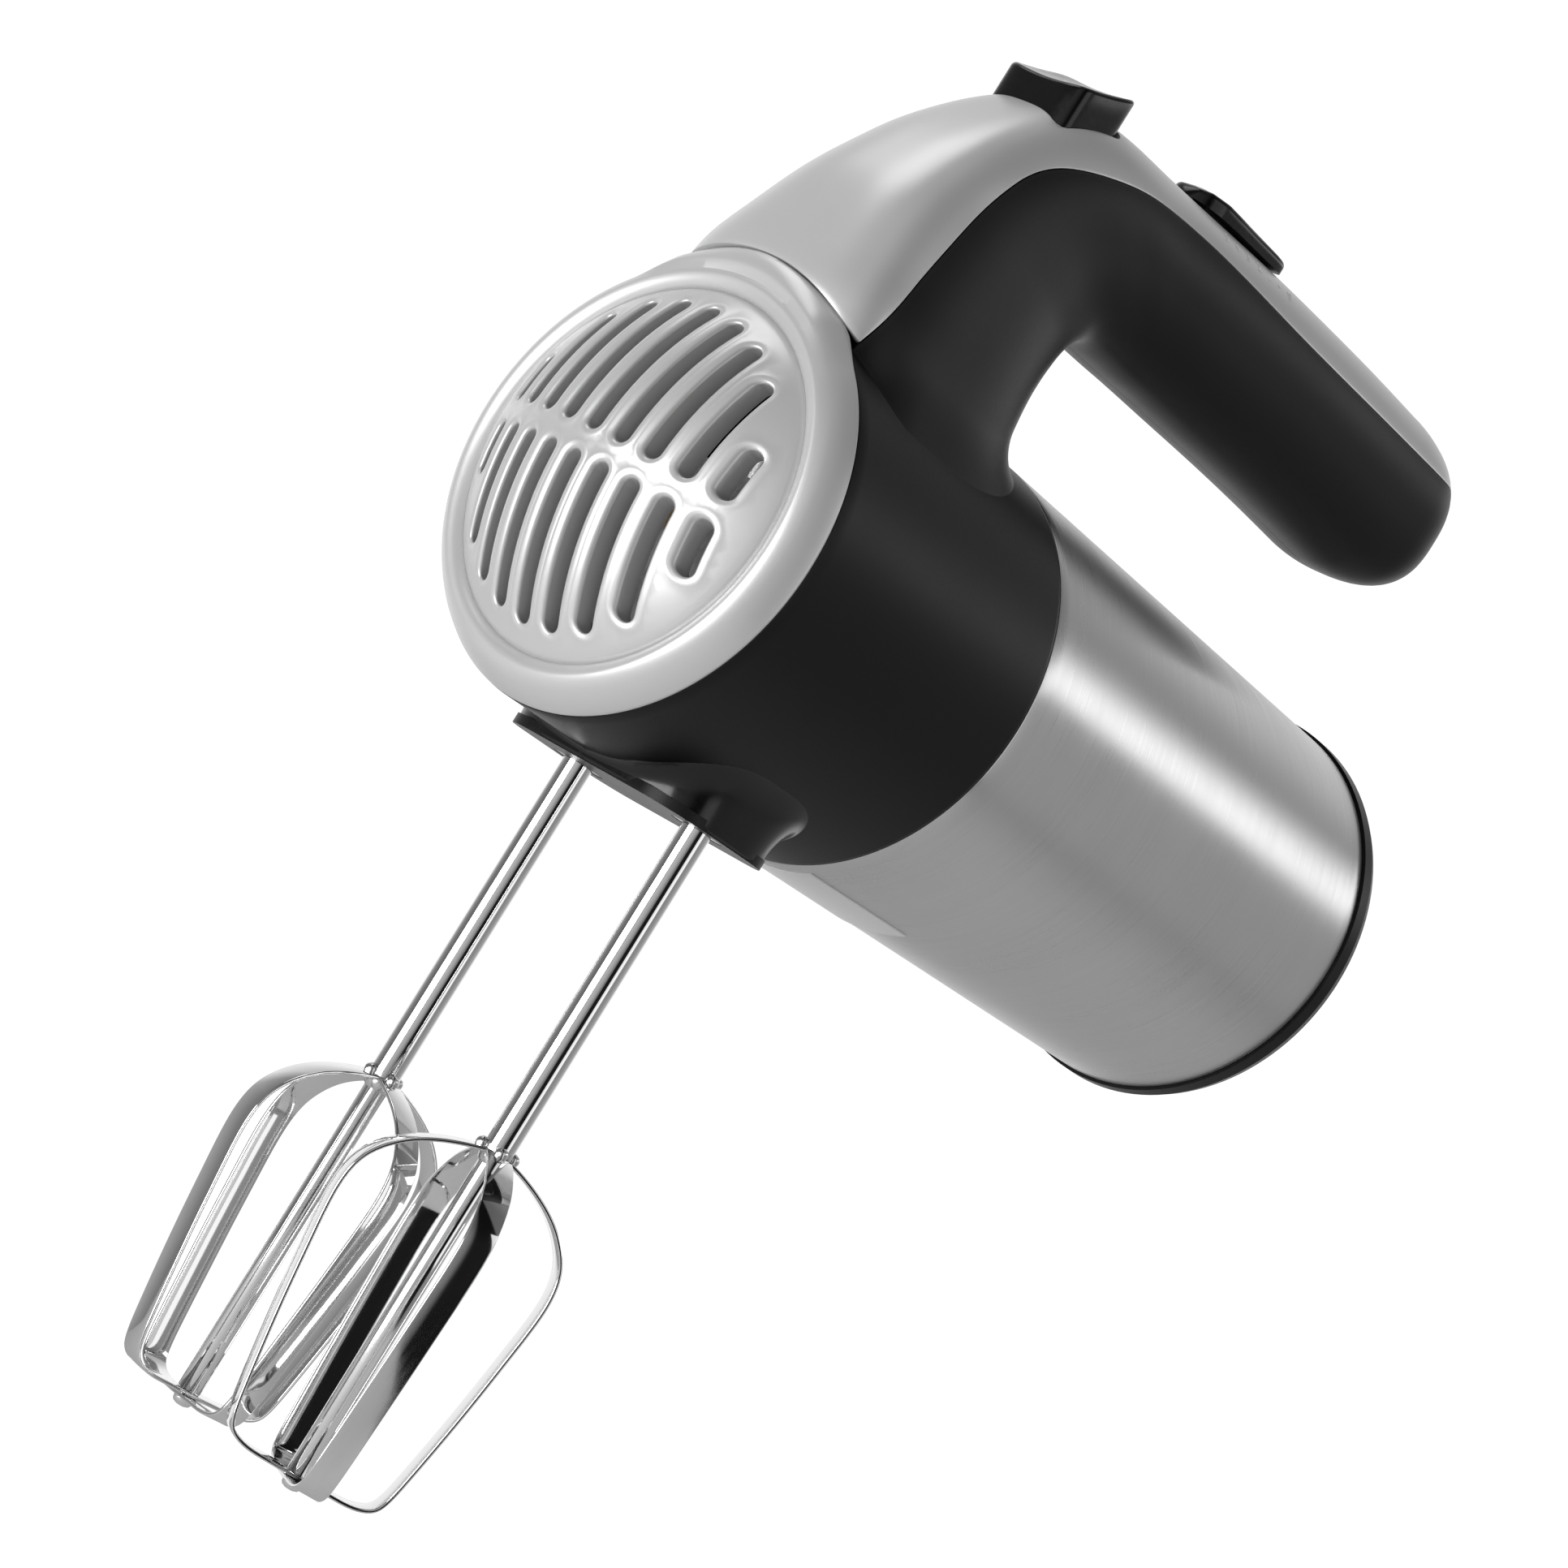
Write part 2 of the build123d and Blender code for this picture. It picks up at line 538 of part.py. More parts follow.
WORM = (BEATER_Y - 15.0, BEATER_Y + 15.0)
with BuildPart() as worm:
    steps = int((WORM[1] - WORM[0]) / LEAD * 18)
    sections = []
    for i in range(steps + 1):
        y = WORM[0] + (WORM[1] - WORM[0]) * i / steps
        # thread crest half a pitch from the wheels' centre plane on both sides of the worm
        turn = 360 * (y - BEATER_Y - AXIAL_PITCH / 2) / LEAD + 90 - 180 / STARTS
        plane = Plane(origin=(0, y, 0), x_dir=(1, 0, 0), z_dir=(0, -1, 0))
        with BuildSketch(plane) as section:
            with BuildLine():
                Polyline(*worm_section(turn), close=True)
            make_face()
        sections.append(section.sketch.face())
    loft(sections, ruled=True)
    tube_y(WORM[0] - 1, WORM[1] + 1, WORM_BORE, mode=Mode.SUBTRACT)
save(worm.part, "worm")


def wheel_section(turn):
    """Outline of the worm wheel's teeth, turned by an angle in degrees."""
    points = []
    root, tip = WHEEL_R - 1.15 * MODULE, WHEEL_R + 0.75 * MODULE
    for tooth in range(TEETH):
        for share, radius in ((-0.36, root), (-0.12, tip), (0.12, tip), (0.36, root)):
            a = radians(turn + (tooth + share) * 360 / TEETH)
            points.append((radius * cos(a), radius * sin(a)))
    return points


WHEEL_HALF = 4.0
LEAD_SLOPE = LEAD / (2 * pi * WORM_R)
for side, hand in ((-1, "left"), (1, "right")):
    x = side * BEATER_X
    with BuildPart() as wheel:
        sections = []
        for z in (-WHEEL_HALF, 0.0, WHEEL_HALF):
            with BuildSketch(Plane(origin=(x, BEATER_Y, z))) as section:
                with BuildLine():
                    Polyline(*wheel_section(degrees(z * LEAD_SLOPE / WHEEL_R)), close=True)
                make_face()
            sections.append(section.sketch.face())
        loft(sections, ruled=True)
        tube_z(x, BEATER_Y, -5, 5, SPINDLE_R, mode=Mode.SUBTRACT)
        for z0, z1 in ((-WHEEL_HALF - 1, -1.5), (1.5, WHEEL_HALF + 1)):
            tube_z(x, BEATER_Y, z0, z1, WHEEL_R - 3, SPINDLE_R + 2.5, mode=Mode.SUBTRACT)
    save(wheel.part, f"{hand}_worm_wheel")

    with BuildPart() as spindle:
        tube_z(x, BEATER_Y, SPINDLE_Z[0], SPINDLE_Z[1], SPINDLE_R, SPINDLE_BORE)
        # shoulders above and below the wheel, and the slot that drives the beater
        tube_z(x, BEATER_Y, -4.9, -WHEEL_HALF, SPINDLE_R + 1.6, SPINDLE_BORE)
        tube_z(x, BEATER_Y, WHEEL_HALF, 4.9, SPINDLE_R + 1.6, SPINDLE_BORE)
        block(x - 7, x + 7, BEATER_Y - EAR_T / 2 - 0.1, BEATER_Y + EAR_T / 2 + 0.1,
              SPINDLE_Z[0] - 1, EAR_Z[1] + 0.3, mode=Mode.SUBTRACT)
        tube_z(x, BEATER_Y, CLIP_Z - 0.5, CLIP_Z + 0.5, SPINDLE_R + 1, SPINDLE_R - 0.6, mode=Mode.SUBTRACT)
    save(spindle.part, f"{hand}_spindle")

    with BuildPart() as clip:
        # open spring ring in the spindle's groove
        tube_z(x, BEATER_Y, CLIP_Z - 0.4, CLIP_Z + 0.4, SPINDLE_R + 0.6, SPINDLE_R - 0.55)
        block(x - 2.5, x + 2.5, BEATER_Y, BEATER_Y - 10, CLIP_Z - 1, CLIP_Z + 1, mode=Mode.SUBTRACT)
    save(clip.part, f"{hand}_spring_clip")

    with BuildPart() as push_pin:
        tube_z(x, BEATER_Y, BEATER_TOP + 0.1, PIN_HEAD[0], SHAFT_R)
        tube_z(x, BEATER_Y, PIN_HEAD[0], PIN_HEAD[1], SPINDLE_R - 0.4)
        chamfer(push_pin.part.edges().group_by(Axis.Z)[-1], 0.5)
    save(push_pin.part, f"{hand}_push_pin")

# ---------------------------------------------------------------- eject button and yoke
YOKE = (PIN_HEAD[1] + 0.3, PIN_HEAD[1] + 3.3)
with BuildPart() as eject_yoke:
    block(-23.5, 23.5, BEATER_Y - 5, BEATER_Y + 5, *YOKE)
    fillet(eject_yoke.part.edges().filter_by(Axis.Z), 4)
    block(-4.5, 4.5, BEATER_Y - 4, BEATER_Y + 4, YOKE[1], 98)
    tube_z(0, BEATER_Y, LID[1] + 0.6, YOKE[0], GUIDE_R)
save(eject_yoke.part, "eject_yoke")

with BuildPart() as eject_button:
    with BuildSketch(Plane.XY.offset(98)) as plan:
        with Locations((0, (BUTTON_Y0 + BUTTON_Y1) / 2)):
            RectangleRounded(BUTTON_W, BUTTON_Y1 - BUTTON_Y0, 2.6)
    extrude(plan.sketch, amount=20)
    # sloping top, higher at the rear, with a shallow finger hollow across it
    with BuildSketch(Plane.YZ.offset(-20)) as above:
        with BuildLine():
            Polyline((BUTTON_Y0 - 1, 109.6), (BUTTON_Y1 + 1, 116.6), (BUTTON_Y1 + 1, 130),
                     (BUTTON_Y0 - 1, 130), close=True)
        make_face()
    extrude(above.sketch, amount=40, mode=Mode.SUBTRACT)
save(eject_button.part, "eject_button")

with BuildPart() as eject_spring:
    for turn in range(5):
        z = LID[1] + 0.05 + turn * 2.35
        tube_z(0, BEATER_Y, z, z + 1.0, 4.4, 3.2)
        if turn < 4:
            block(3.3, 4.3, BEATER_Y - 0.5, BEATER_Y + 0.5, z + 0.9, z + 2.4)
save(eject_spring.part, "eject_spring")

# ---------------------------------------------------------------- speed slider and switch
with BuildPart() as speed_slider:
    z0 = GRIP_TOP + 0.5
    with BuildSketch(Plane.XY.offset(z0)) as plan:
        with BuildLine():
            Polyline((-7.5, SLIDER_Y0 + 13), (-7.5, SLIDER_Y1), (7.5, SLIDER_Y1), (7.5, SLIDER_Y0 + 13))
            Spline((7.5, SLIDER_Y0 + 13), (0, SLIDER_Y0), (-7.5, SLIDER_Y0 + 13),
                   tangents=((0, -1), (0, 1)))
        make_face()
    extrude(plan.sketch, amount=8)
    with BuildSketch(Plane.YZ.offset(-20)) as above:
        with BuildLine():
            Spline((SLIDER_Y0 - 1, z0 + 0.3), (SLIDER_Y0 + 3, z0 + 2.6), (SLIDER_Y0 + 10, 117.6),
                   (SLIDER_Y0 + 20, 117.3), (SLIDER_Y1 + 1, 116.5))
            Polyline((SLIDER_Y1 + 1, 116.5), (SLIDER_Y1 + 1, 130), (SLIDER_Y0 - 1, 130),
                     (SLIDER_Y0 - 1, z0 + 0.3))
        make_face()
    extrude(above.sketch, amount=40, mode=Mode.SUBTRACT)
    # stem through the slot
    block(-2.6, 2.6, SLIDER_Y0 + 7, SLIDER_Y0 + 19, 107.0, z0 + 1)
save(speed_slider.part, "speed_slider")

with BuildPart() as slider_carriage:
    block(-7, 7, SLIDER_Y0 + 5, SLIDER_Y0 + 21, 104.4, 107.0)
    block(-1.2, 1.2, SLIDER_Y0 + 11, SLIDER_Y0 + 15, 101.6, 104.4)
save(slider_carriage.part, "slider_carriage")

with BuildPart() as speed_switch:
    y0, y1 = SLIDER_Y0 - SPEED_TRAVEL + 2, SLIDE_END - 2
    block(-9, 9, y0, y1, SWITCH_Z, 101)
    block(-1.6, 1.6, y0 + 4, y1 - 4, 97, 102, mode=Mode.SUBTRACT)
    fillet(speed_switch.part.edges().filter_by(Axis.Z).group_by(Axis.X)[0], 1.2)
save(speed_switch.part, "speed_switch")

with BuildPart() as circuit_board:
    block(-14.4, 14.4, -92, -44, BOARD_Z, BOARD_Z + 1.6)
    # relay, capacitor and choke
    block(-9, -3, -86, -76, BOARD_Z + 1.6, 94)
    tube_z(4, -80, BOARD_Z + 1.6, 95, 4.2)
    block(-8, 8, -64, -56, BOARD_Z + 1.6, 92)
save(circuit_board.part, "circuit_board")

with BuildPart() as cord_bush:
    # rubber bush between the halves, with the hole that takes the cord
    tube_y(-19.9, GRIP_END - 0.2, BUSH_R - 0.05, CORD_R, z=INLET_Z)
save(cord_bush.part, "cord_bush")

with BuildPart() as cord_clamp:
    block(-9, 9, -40, -33, 84.5, INLET_Z - CORD_R - 0.1)
    block(-4, 4, -40, -33, GRIP_BOTTOM + GRIP_WALL + 0.05, 84.5)
save(cord_clamp.part, "cord_clamp")

with BuildPart() as housing_screws:
    for y, z in GRIP_SCREWS:
        disc_x(-12, 9, y, z, SCREW_R)
        disc_x(-14, -12, y, z, HEAD_R)
        block(-15, -13.2, y - 0.4, y + 0.4, z - 2.2, z + 2.2, mode=Mode.SUBTRACT)
    for side in (-1, 1):
        tube_y(-19, -4, 1.3, x=side * CAP_SCREW_X)
        tube_y(-4, -2.2, HEAD_R, x=side * CAP_SCREW_X)
save(housing_screws.part, "housing_screws")

# ---------------------------------------------------------------- beaters
BLADE_TOP = WELD_Z + 0.6


def blade_outline(drop, inset):
    """Closed outline of a blade loop as (r, z) points, drawn in by inset, clockwise from the top."""
    r, top, bottom = BLADE_R, BLADE_TOP, TIP_Z + drop
    half = [(0.0, top), (4.5, top - 0.7), (8.0, top - 1.8), (12.5, top - 3.7), (16.5, top - 6.1),
            (20.0, top - 9.3), (22.6, top - 13.2), (r, top - 18.2), (r - 0.1, top - 24.6),
            (r - 0.9, top - 31.8), (r - 1.9, top - 40.0), (r - 3.6, top - 52.0), (r - 5.2, bottom + 10.0),
            (r - 6.2, bottom + 5.2), (r - 7.6, bottom + 2.2), (r - 11.0, bottom + 0.5),
            (r - 17.0, bottom + 0.1), (0.0, bottom)]
    ring = half + [(-x, z) for x, z in half[-2:0:-1]]
    points = []
    for i, (x, z) in enumerate(ring):
        (x0, z0), (x1, z1) = ring[i - 1], ring[(i + 1) % len(ring)]
        length = sqrt((x1 - x0) ** 2 + (z1 - z0) ** 2)
        points.append((x + (z1 - z0) / length * inset, z - (x1 - x0) / length * inset))
    return points


def blade_loop(x, angle, drop):
    """Closed flat-strip loop in the upright plane at an angle about the beater's axis."""
    a = radians(angle)
    plane = Plane(origin=(x, BEATER_Y, 0), x_dir=(cos(a), sin(a), 0), z_dir=(sin(a), -cos(a), 0))
    with BuildPart(mode=Mode.PRIVATE) as loop:
        with BuildSketch(plane) as face:
            for inset, mode in ((0.0, Mode.ADD), (BLADE_T, Mode.SUBTRACT)):
                with BuildLine():
                    Spline(*blade_outline(drop, inset), periodic=True)
                make_face(mode=mode)
        extrude(face.sketch, amount=BLADE_W / 2, both=True)
    return loop.part


for side, hand, turn in ((-1, "left", -10.0), (1, "right", -32.0)):
    x = side * BEATER_X
    with BuildPart() as shaft:
        tube_z(x, BEATER_Y, WELD_Z, BEATER_TOP, SHAFT_R)
        chamfer(shaft.part.edges().group_by(Axis.Z)[-1], 0.8)
        # drive ears that enter the spindle's slot
        block(x - EAR_W, x + EAR_W, BEATER_Y - EAR_T / 2, BEATER_Y + EAR_T / 2, *EAR_Z)
        # waist for the spring clip
        tube_z(x, BEATER_Y, CLIP_Z - 1.2, CLIP_Z + 1.2, SHAFT_R + 1, SHAFT_R - 0.5, mode=Mode.SUBTRACT)
    save(shaft.part, f"{hand}_beater_shaft")

    loop_a = blade_loop(x, turn, 0.0)
    loop_b = blade_loop(x, turn + 90, BLADE_T + 0.05)
    with BuildPart() as stem:
        tube_z(x, BEATER_Y, TIP_Z + 2 * BLADE_T + 0.1, WELD_Z, STEM_R)
    with BuildPart() as blades:
        add(loop_a)
        add(loop_b)
        tube_z(x, BEATER_Y, TIP_Z + 2 * BLADE_T + 0.1, 0, STEM_R, mode=Mode.SUBTRACT)
        tube_z(x, BEATER_Y, WELD_Z, 0, SHAFT_R, mode=Mode.SUBTRACT)
    save(stem.part, f"{hand}_beater_stem")
    save(blades.part, f"{hand}_beater_blades")

    with BuildPart() as rivet:
        tube_z(x, BEATER_Y, TIP_Z - 1.6, TIP_Z - 0.12, 2.4)
        chamfer(rivet.part.edges().group_by(Axis.Z)[0], 0.6)
    save(rivet.part, f"{hand}_beater_rivet")
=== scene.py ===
"""Looks of a hand mixer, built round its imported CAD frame.

Sizes in the classes are millimetres in the frame's own axes: +Z up, nose towards -Y, beaters
hanging down.  Every mesh is written in metres with its object left at the origin.
"""

import json
import logging
import math
from collections.abc import Callable, Sequence
from dataclasses import dataclass
from enum import Enum

import bpy
import numpy as np
from mathutils import Matrix, Vector
from mathutils.geometry import delaunay_2d_cdt


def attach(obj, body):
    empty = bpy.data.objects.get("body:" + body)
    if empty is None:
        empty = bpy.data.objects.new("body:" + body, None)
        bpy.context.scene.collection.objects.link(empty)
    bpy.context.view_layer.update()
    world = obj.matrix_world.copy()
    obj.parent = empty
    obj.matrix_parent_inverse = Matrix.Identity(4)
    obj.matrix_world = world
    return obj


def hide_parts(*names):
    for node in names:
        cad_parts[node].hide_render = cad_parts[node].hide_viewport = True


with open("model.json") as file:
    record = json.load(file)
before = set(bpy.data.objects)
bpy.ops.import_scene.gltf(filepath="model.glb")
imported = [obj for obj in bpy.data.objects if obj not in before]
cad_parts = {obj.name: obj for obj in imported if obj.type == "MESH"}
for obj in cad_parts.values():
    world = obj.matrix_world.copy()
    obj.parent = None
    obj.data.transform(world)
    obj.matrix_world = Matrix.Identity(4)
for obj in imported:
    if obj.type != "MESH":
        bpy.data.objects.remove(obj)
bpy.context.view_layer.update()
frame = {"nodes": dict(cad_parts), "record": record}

LOG = logging.getLogger("mixer")
MM = 0.001
Pair = tuple[float, float]
FOOT_ROWS = 150  # dense rows of the handle in which its foot is looked for


# ---------------------------------------------------------------- curves
def smoothstep(value: float) -> float:
    """Ease from 0 to 1, flat outside that range."""
    t = min(1.0, max(0.0, value))
    return t * t * (3.0 - 2.0 * t)


def spline(knots: np.ndarray, values: np.ndarray, at: np.ndarray) -> np.ndarray:
    """Natural cubic spline through values at the knots.

    Args:
        knots: increasing parameters, one for each row of values.
        values: points to pass through, one row each.
        at: parameters to read the curve at.

    Returns:
        One row of the curve for each entry of at.
    """
    count = len(knots)
    step = np.diff(knots)
    system = np.eye(count)
    right = np.zeros((count, values.shape[1]))
    for i in range(1, count - 1):
        system[i, i - 1 : i + 2] = step[i - 1], 2 * (step[i - 1] + step[i]), step[i]
        right[i] = 6 * (
            (values[i + 1] - values[i]) / step[i] - (values[i] - values[i - 1]) / step[i - 1]
        )
    bend = np.linalg.solve(system, right)
    cell = np.clip(np.searchsorted(knots, at) - 1, 0, count - 2)
    width = step[cell][:, None]
    a = (knots[cell + 1] - at)[:, None] / width
    b = 1.0 - a
    return (
        a * values[cell]
        + b * values[cell + 1]
        + ((a**3 - a) * bend[cell] + (b**3 - b) * bend[cell + 1]) * width**2 / 6
    )


def through(points: Sequence[Sequence[float]], count: int) -> np.ndarray:
    """Smooth open curve through points, read at count places evenly along its chord length.

    Args:
        points: points of any dimension.
        count: number of places.

    Returns:
        An array of count rows.
    """
    values = np.array(points, float)
    knots = np.concatenate(([0], np.cumsum(np.linalg.norm(np.diff(values, axis=0), axis=1))))
    return spline(knots, values, np.linspace(0, knots[-1], count))


def around(points: Sequence[Pair], count: int) -> np.ndarray:
    """Smooth closed curve through points, without the repeated last place.

    Args:
        points: the corners of the closed curve, in order.
        count: number of places round it.

    Returns:
        An array of count rows.
    """
    lap = list(points)
    values = np.array(lap[-4:] + lap + lap[:5], float)
    knots = np.concatenate(([0], np.cumsum(np.linalg.norm(np.diff(values, axis=0), axis=1))))
    first, last = knots[4], knots[4 + len(lap)]
    return spline(knots, values, np.linspace(first, last, count, endpoint=False))


def respaced(line: np.ndarray, shares: np.ndarray) -> np.ndarray:
    """Points at given shares of a dense line's length.

    Args:
        line: dense points along the line.
        shares: places from 0 to 1.

    Returns:
        One point for each share.
    """
    run = np.concatenate(([0], np.cumsum(np.linalg.norm(np.diff(line, axis=0), axis=1))))
    if run[-1] < 1e-9:
        return np.repeat(line[:1], len(shares), axis=0)
    return np.stack([np.interp(shares * run[-1], run, line[:, k]) for k in range(line.shape[1])], 1)


# ---------------------------------------------------------------- modelling by operators
def deselect() -> None:
    """Leave object mode clean, with nothing selected."""
    if bpy.context.object and bpy.context.object.mode != "OBJECT":
        bpy.ops.object.mode_set(mode="OBJECT")
    bpy.ops.object.select_all(action="DESELECT")


def take(piece: bpy.types.Object) -> None:
    """Make a piece the only selected and active one."""
    deselect()
    piece.select_set(True)
    bpy.context.view_layer.objects.active = piece


def tidy_mesh(piece: bpy.types.Object, angle: float = 40.0) -> bpy.types.Object:
    """Merge doubles, turn the faces outwards and shade smooth up to an angle.

    Args:
        piece: the mesh object.
        angle: largest angle in degrees that is shaded smooth.

    Returns:
        The same object.
    """
    take(piece)
    bpy.ops.object.mode_set(mode="EDIT")
    bpy.ops.mesh.select_all(action="SELECT")
    bpy.ops.mesh.remove_doubles(threshold=2e-6)
    bpy.ops.mesh.delete_loose(use_verts=True, use_edges=True, use_faces=False)
    bpy.ops.mesh.select_all(action="SELECT")
    bpy.ops.mesh.normals_make_consistent(inside=False)
    bpy.ops.object.mode_set(mode="OBJECT")
    bpy.ops.object.shade_smooth_by_angle(angle=math.radians(angle))
    return piece


def apply(piece: bpy.types.Object, kind: str, **settings: float | str | bool | int) -> None:
    """Add a modifier with its settings and apply it.

    Args:
        piece: the mesh object.
        kind: Blender's modifier type.
        settings: values for the modifier's own properties.
    """
    take(piece)
    modifier = piece.modifiers.new(kind.title(), kind)
    for key, value in settings.items():
        setattr(modifier, key, value)
    bpy.ops.object.modifier_apply(modifier=modifier.name)


def place_all(piece: bpy.types.Object, points: np.ndarray) -> None:
    """Put every vertex of a piece at a point given in millimetres."""
    piece.data.vertices.foreach_set("co", np.ascontiguousarray(points * MM, np.float32).ravel())
    piece.data.update()


def wrapped(name: str, points: np.ndarray) -> bpy.types.Object:
    """Grid primitive wrapped onto a shape.

    Args:
        name: the piece's name.
        points: (rows, columns, 3) array of places in millimetres.

    Returns:
        The new mesh object.
    """
    rows, columns = points.shape[:2]
    deselect()
    bpy.ops.mesh.primitive_grid_add(x_subdivisions=columns - 1, y_subdivisions=rows - 1, size=2)
    piece = bpy.context.object
    piece.name = name
    flat = np.empty(len(piece.data.vertices) * 3)
    piece.data.vertices.foreach_get("co", flat)
    flat = flat.reshape(-1, 3)
    column = np.rint((flat[:, 0] + 1) / 2 * (columns - 1)).astype(int)
    row = np.rint((flat[:, 1] + 1) / 2 * (rows - 1)).astype(int)
    place_all(piece, points[row, column])
    return piece


def spun(name: str, outline: Sequence[Pair], steps: int, axis: str = "Y", x: float = 0.0,
         y: float = 0.0) -> bpy.types.Object:
    """Closed outline turned a full circle.

    Args:
        name: the piece's name.
        outline: (radius, place along the axis) points of a closed outline.
        steps: segments round the circle.
        axis: "Y" or "Z".
        x: where an upright axis stands.
        y: where an upright axis stands.

    Returns:
        The new closed mesh object.
    """
    deselect()
    bpy.ops.mesh.primitive_circle_add(vertices=len(outline), radius=1.0, fill_type="NOTHING")
    piece = bpy.context.object
    piece.name = name
    if axis == "Y":
        places = np.array([(r, along, 0.0) for r, along in outline])
        line = (0.0, 1.0, 0.0)
    else:
        places = np.array([(x + r, y, along) for r, along in outline])
        line = (0.0, 0.0, 1.0)
    place_all(piece, places)
    bpy.ops.object.mode_set(mode="EDIT")
    bpy.ops.mesh.select_all(action="SELECT")
    bpy.ops.mesh.spin(steps=steps, angle=2 * math.pi, center=(x * MM, y * MM, 0), axis=line)
    bpy.ops.object.mode_set(mode="OBJECT")
    return tidy_mesh(piece)


def bevelled_box(name: str, low: Sequence[float], high: Sequence[float], rounding: float
                 ) -> bpy.types.Object:
    """Box between two corners with all its edges bevelled.

    Args:
        name: the piece's name.
        low: lowest corner.
        high: highest corner.
        rounding: width of the bevel.

    Returns:
        The new mesh object.
    """
    deselect()
    bpy.ops.mesh.primitive_cube_add(size=1.0)
    piece = bpy.context.object
    piece.name = name
    places = np.array([[(a if v.co[k] < 0 else b) for k, (a, b) in enumerate(zip(low, high))]
                       for v in piece.data.vertices], float)
    place_all(piece, places)
    bpy.ops.object.mode_set(mode="EDIT")
    bpy.ops.mesh.select_all(action="SELECT")
    bpy.ops.mesh.bevel(offset=rounding * MM, segments=3)
    bpy.ops.object.mode_set(mode="OBJECT")
    return tidy_mesh(piece)


def joined(pieces: Sequence[bpy.types.Object], name: str) -> bpy.types.Object:
    """Join several meshes into one named piece."""
    take(pieces[0])
    for other in pieces:
        other.select_set(True)
    bpy.ops.object.join()
    whole = bpy.context.object
    whole.name = name
    return whole


def finish_piece(piece: bpy.types.Object, body: str, material: bpy.types.Material,
                 nodes: Sequence[str] = ()) -> bpy.types.Object:
    """Dress a piece and hang it on its body.

    Args:
        piece: the mesh object.
        body: the CAD body it rides on.
        material: the finish.
        nodes: CAD nodes that it stands for.

    Returns:
        The same object.
    """
    piece.data.materials.clear()
    piece.data.materials.append(material)
    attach(piece, body)
    if nodes:
        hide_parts(*nodes)
    LOG.info("%s on %s, %d faces", piece.name, body, len(piece.data.polygons))
    return piece


# ---------------------------------------------------------------- finishes
def add_node(tree: bpy.types.NodeTree, kind: str, inputs: dict[str, object],
             **settings: str) -> bpy.types.Node:
    """Add a node with its settings and inputs.

    Args:
        tree: the node tree.
        kind: Blender's node type.
        inputs: a value, or the socket to link from, for each named input.
        settings: values for the node's own properties.

    Returns:
        The new node.
    """
    made = tree.nodes.new(kind)
    for key, value in settings.items():
        setattr(made, key, value)
    fill_inputs(tree, made, inputs)
    return made


def fill_inputs(tree: bpy.types.NodeTree, node: bpy.types.Node, inputs: dict[str, object]) -> None:
    """Set or link the named inputs of a node.

    Args:
        tree: the node tree.
        node: the node.
        inputs: a value, or the socket to link from, for each named input.
    """
    for name, value in inputs.items():
        if isinstance(value, bpy.types.NodeSocket):
            tree.links.new(value, node.inputs[name])
        else:
            node.inputs[name].default_value = value


class Grain(Enum):
    """How the fine texture of a finish runs."""

    EVEN = "even"
    ROUND_BARREL = "round the barrel"
    UPRIGHT = "upright"


GRAIN_STRETCH = {Grain.EVEN: (1, 1, 1), Grain.ROUND_BARREL: (0.012, 1, 0.012),
                 Grain.UPRIGHT: (1, 1, 0.02)}
NOISE_SPAN = (0.3, 0.7)
BLOTCH_SCALE = 34.0
BLOTCH_SHARE = 0.35


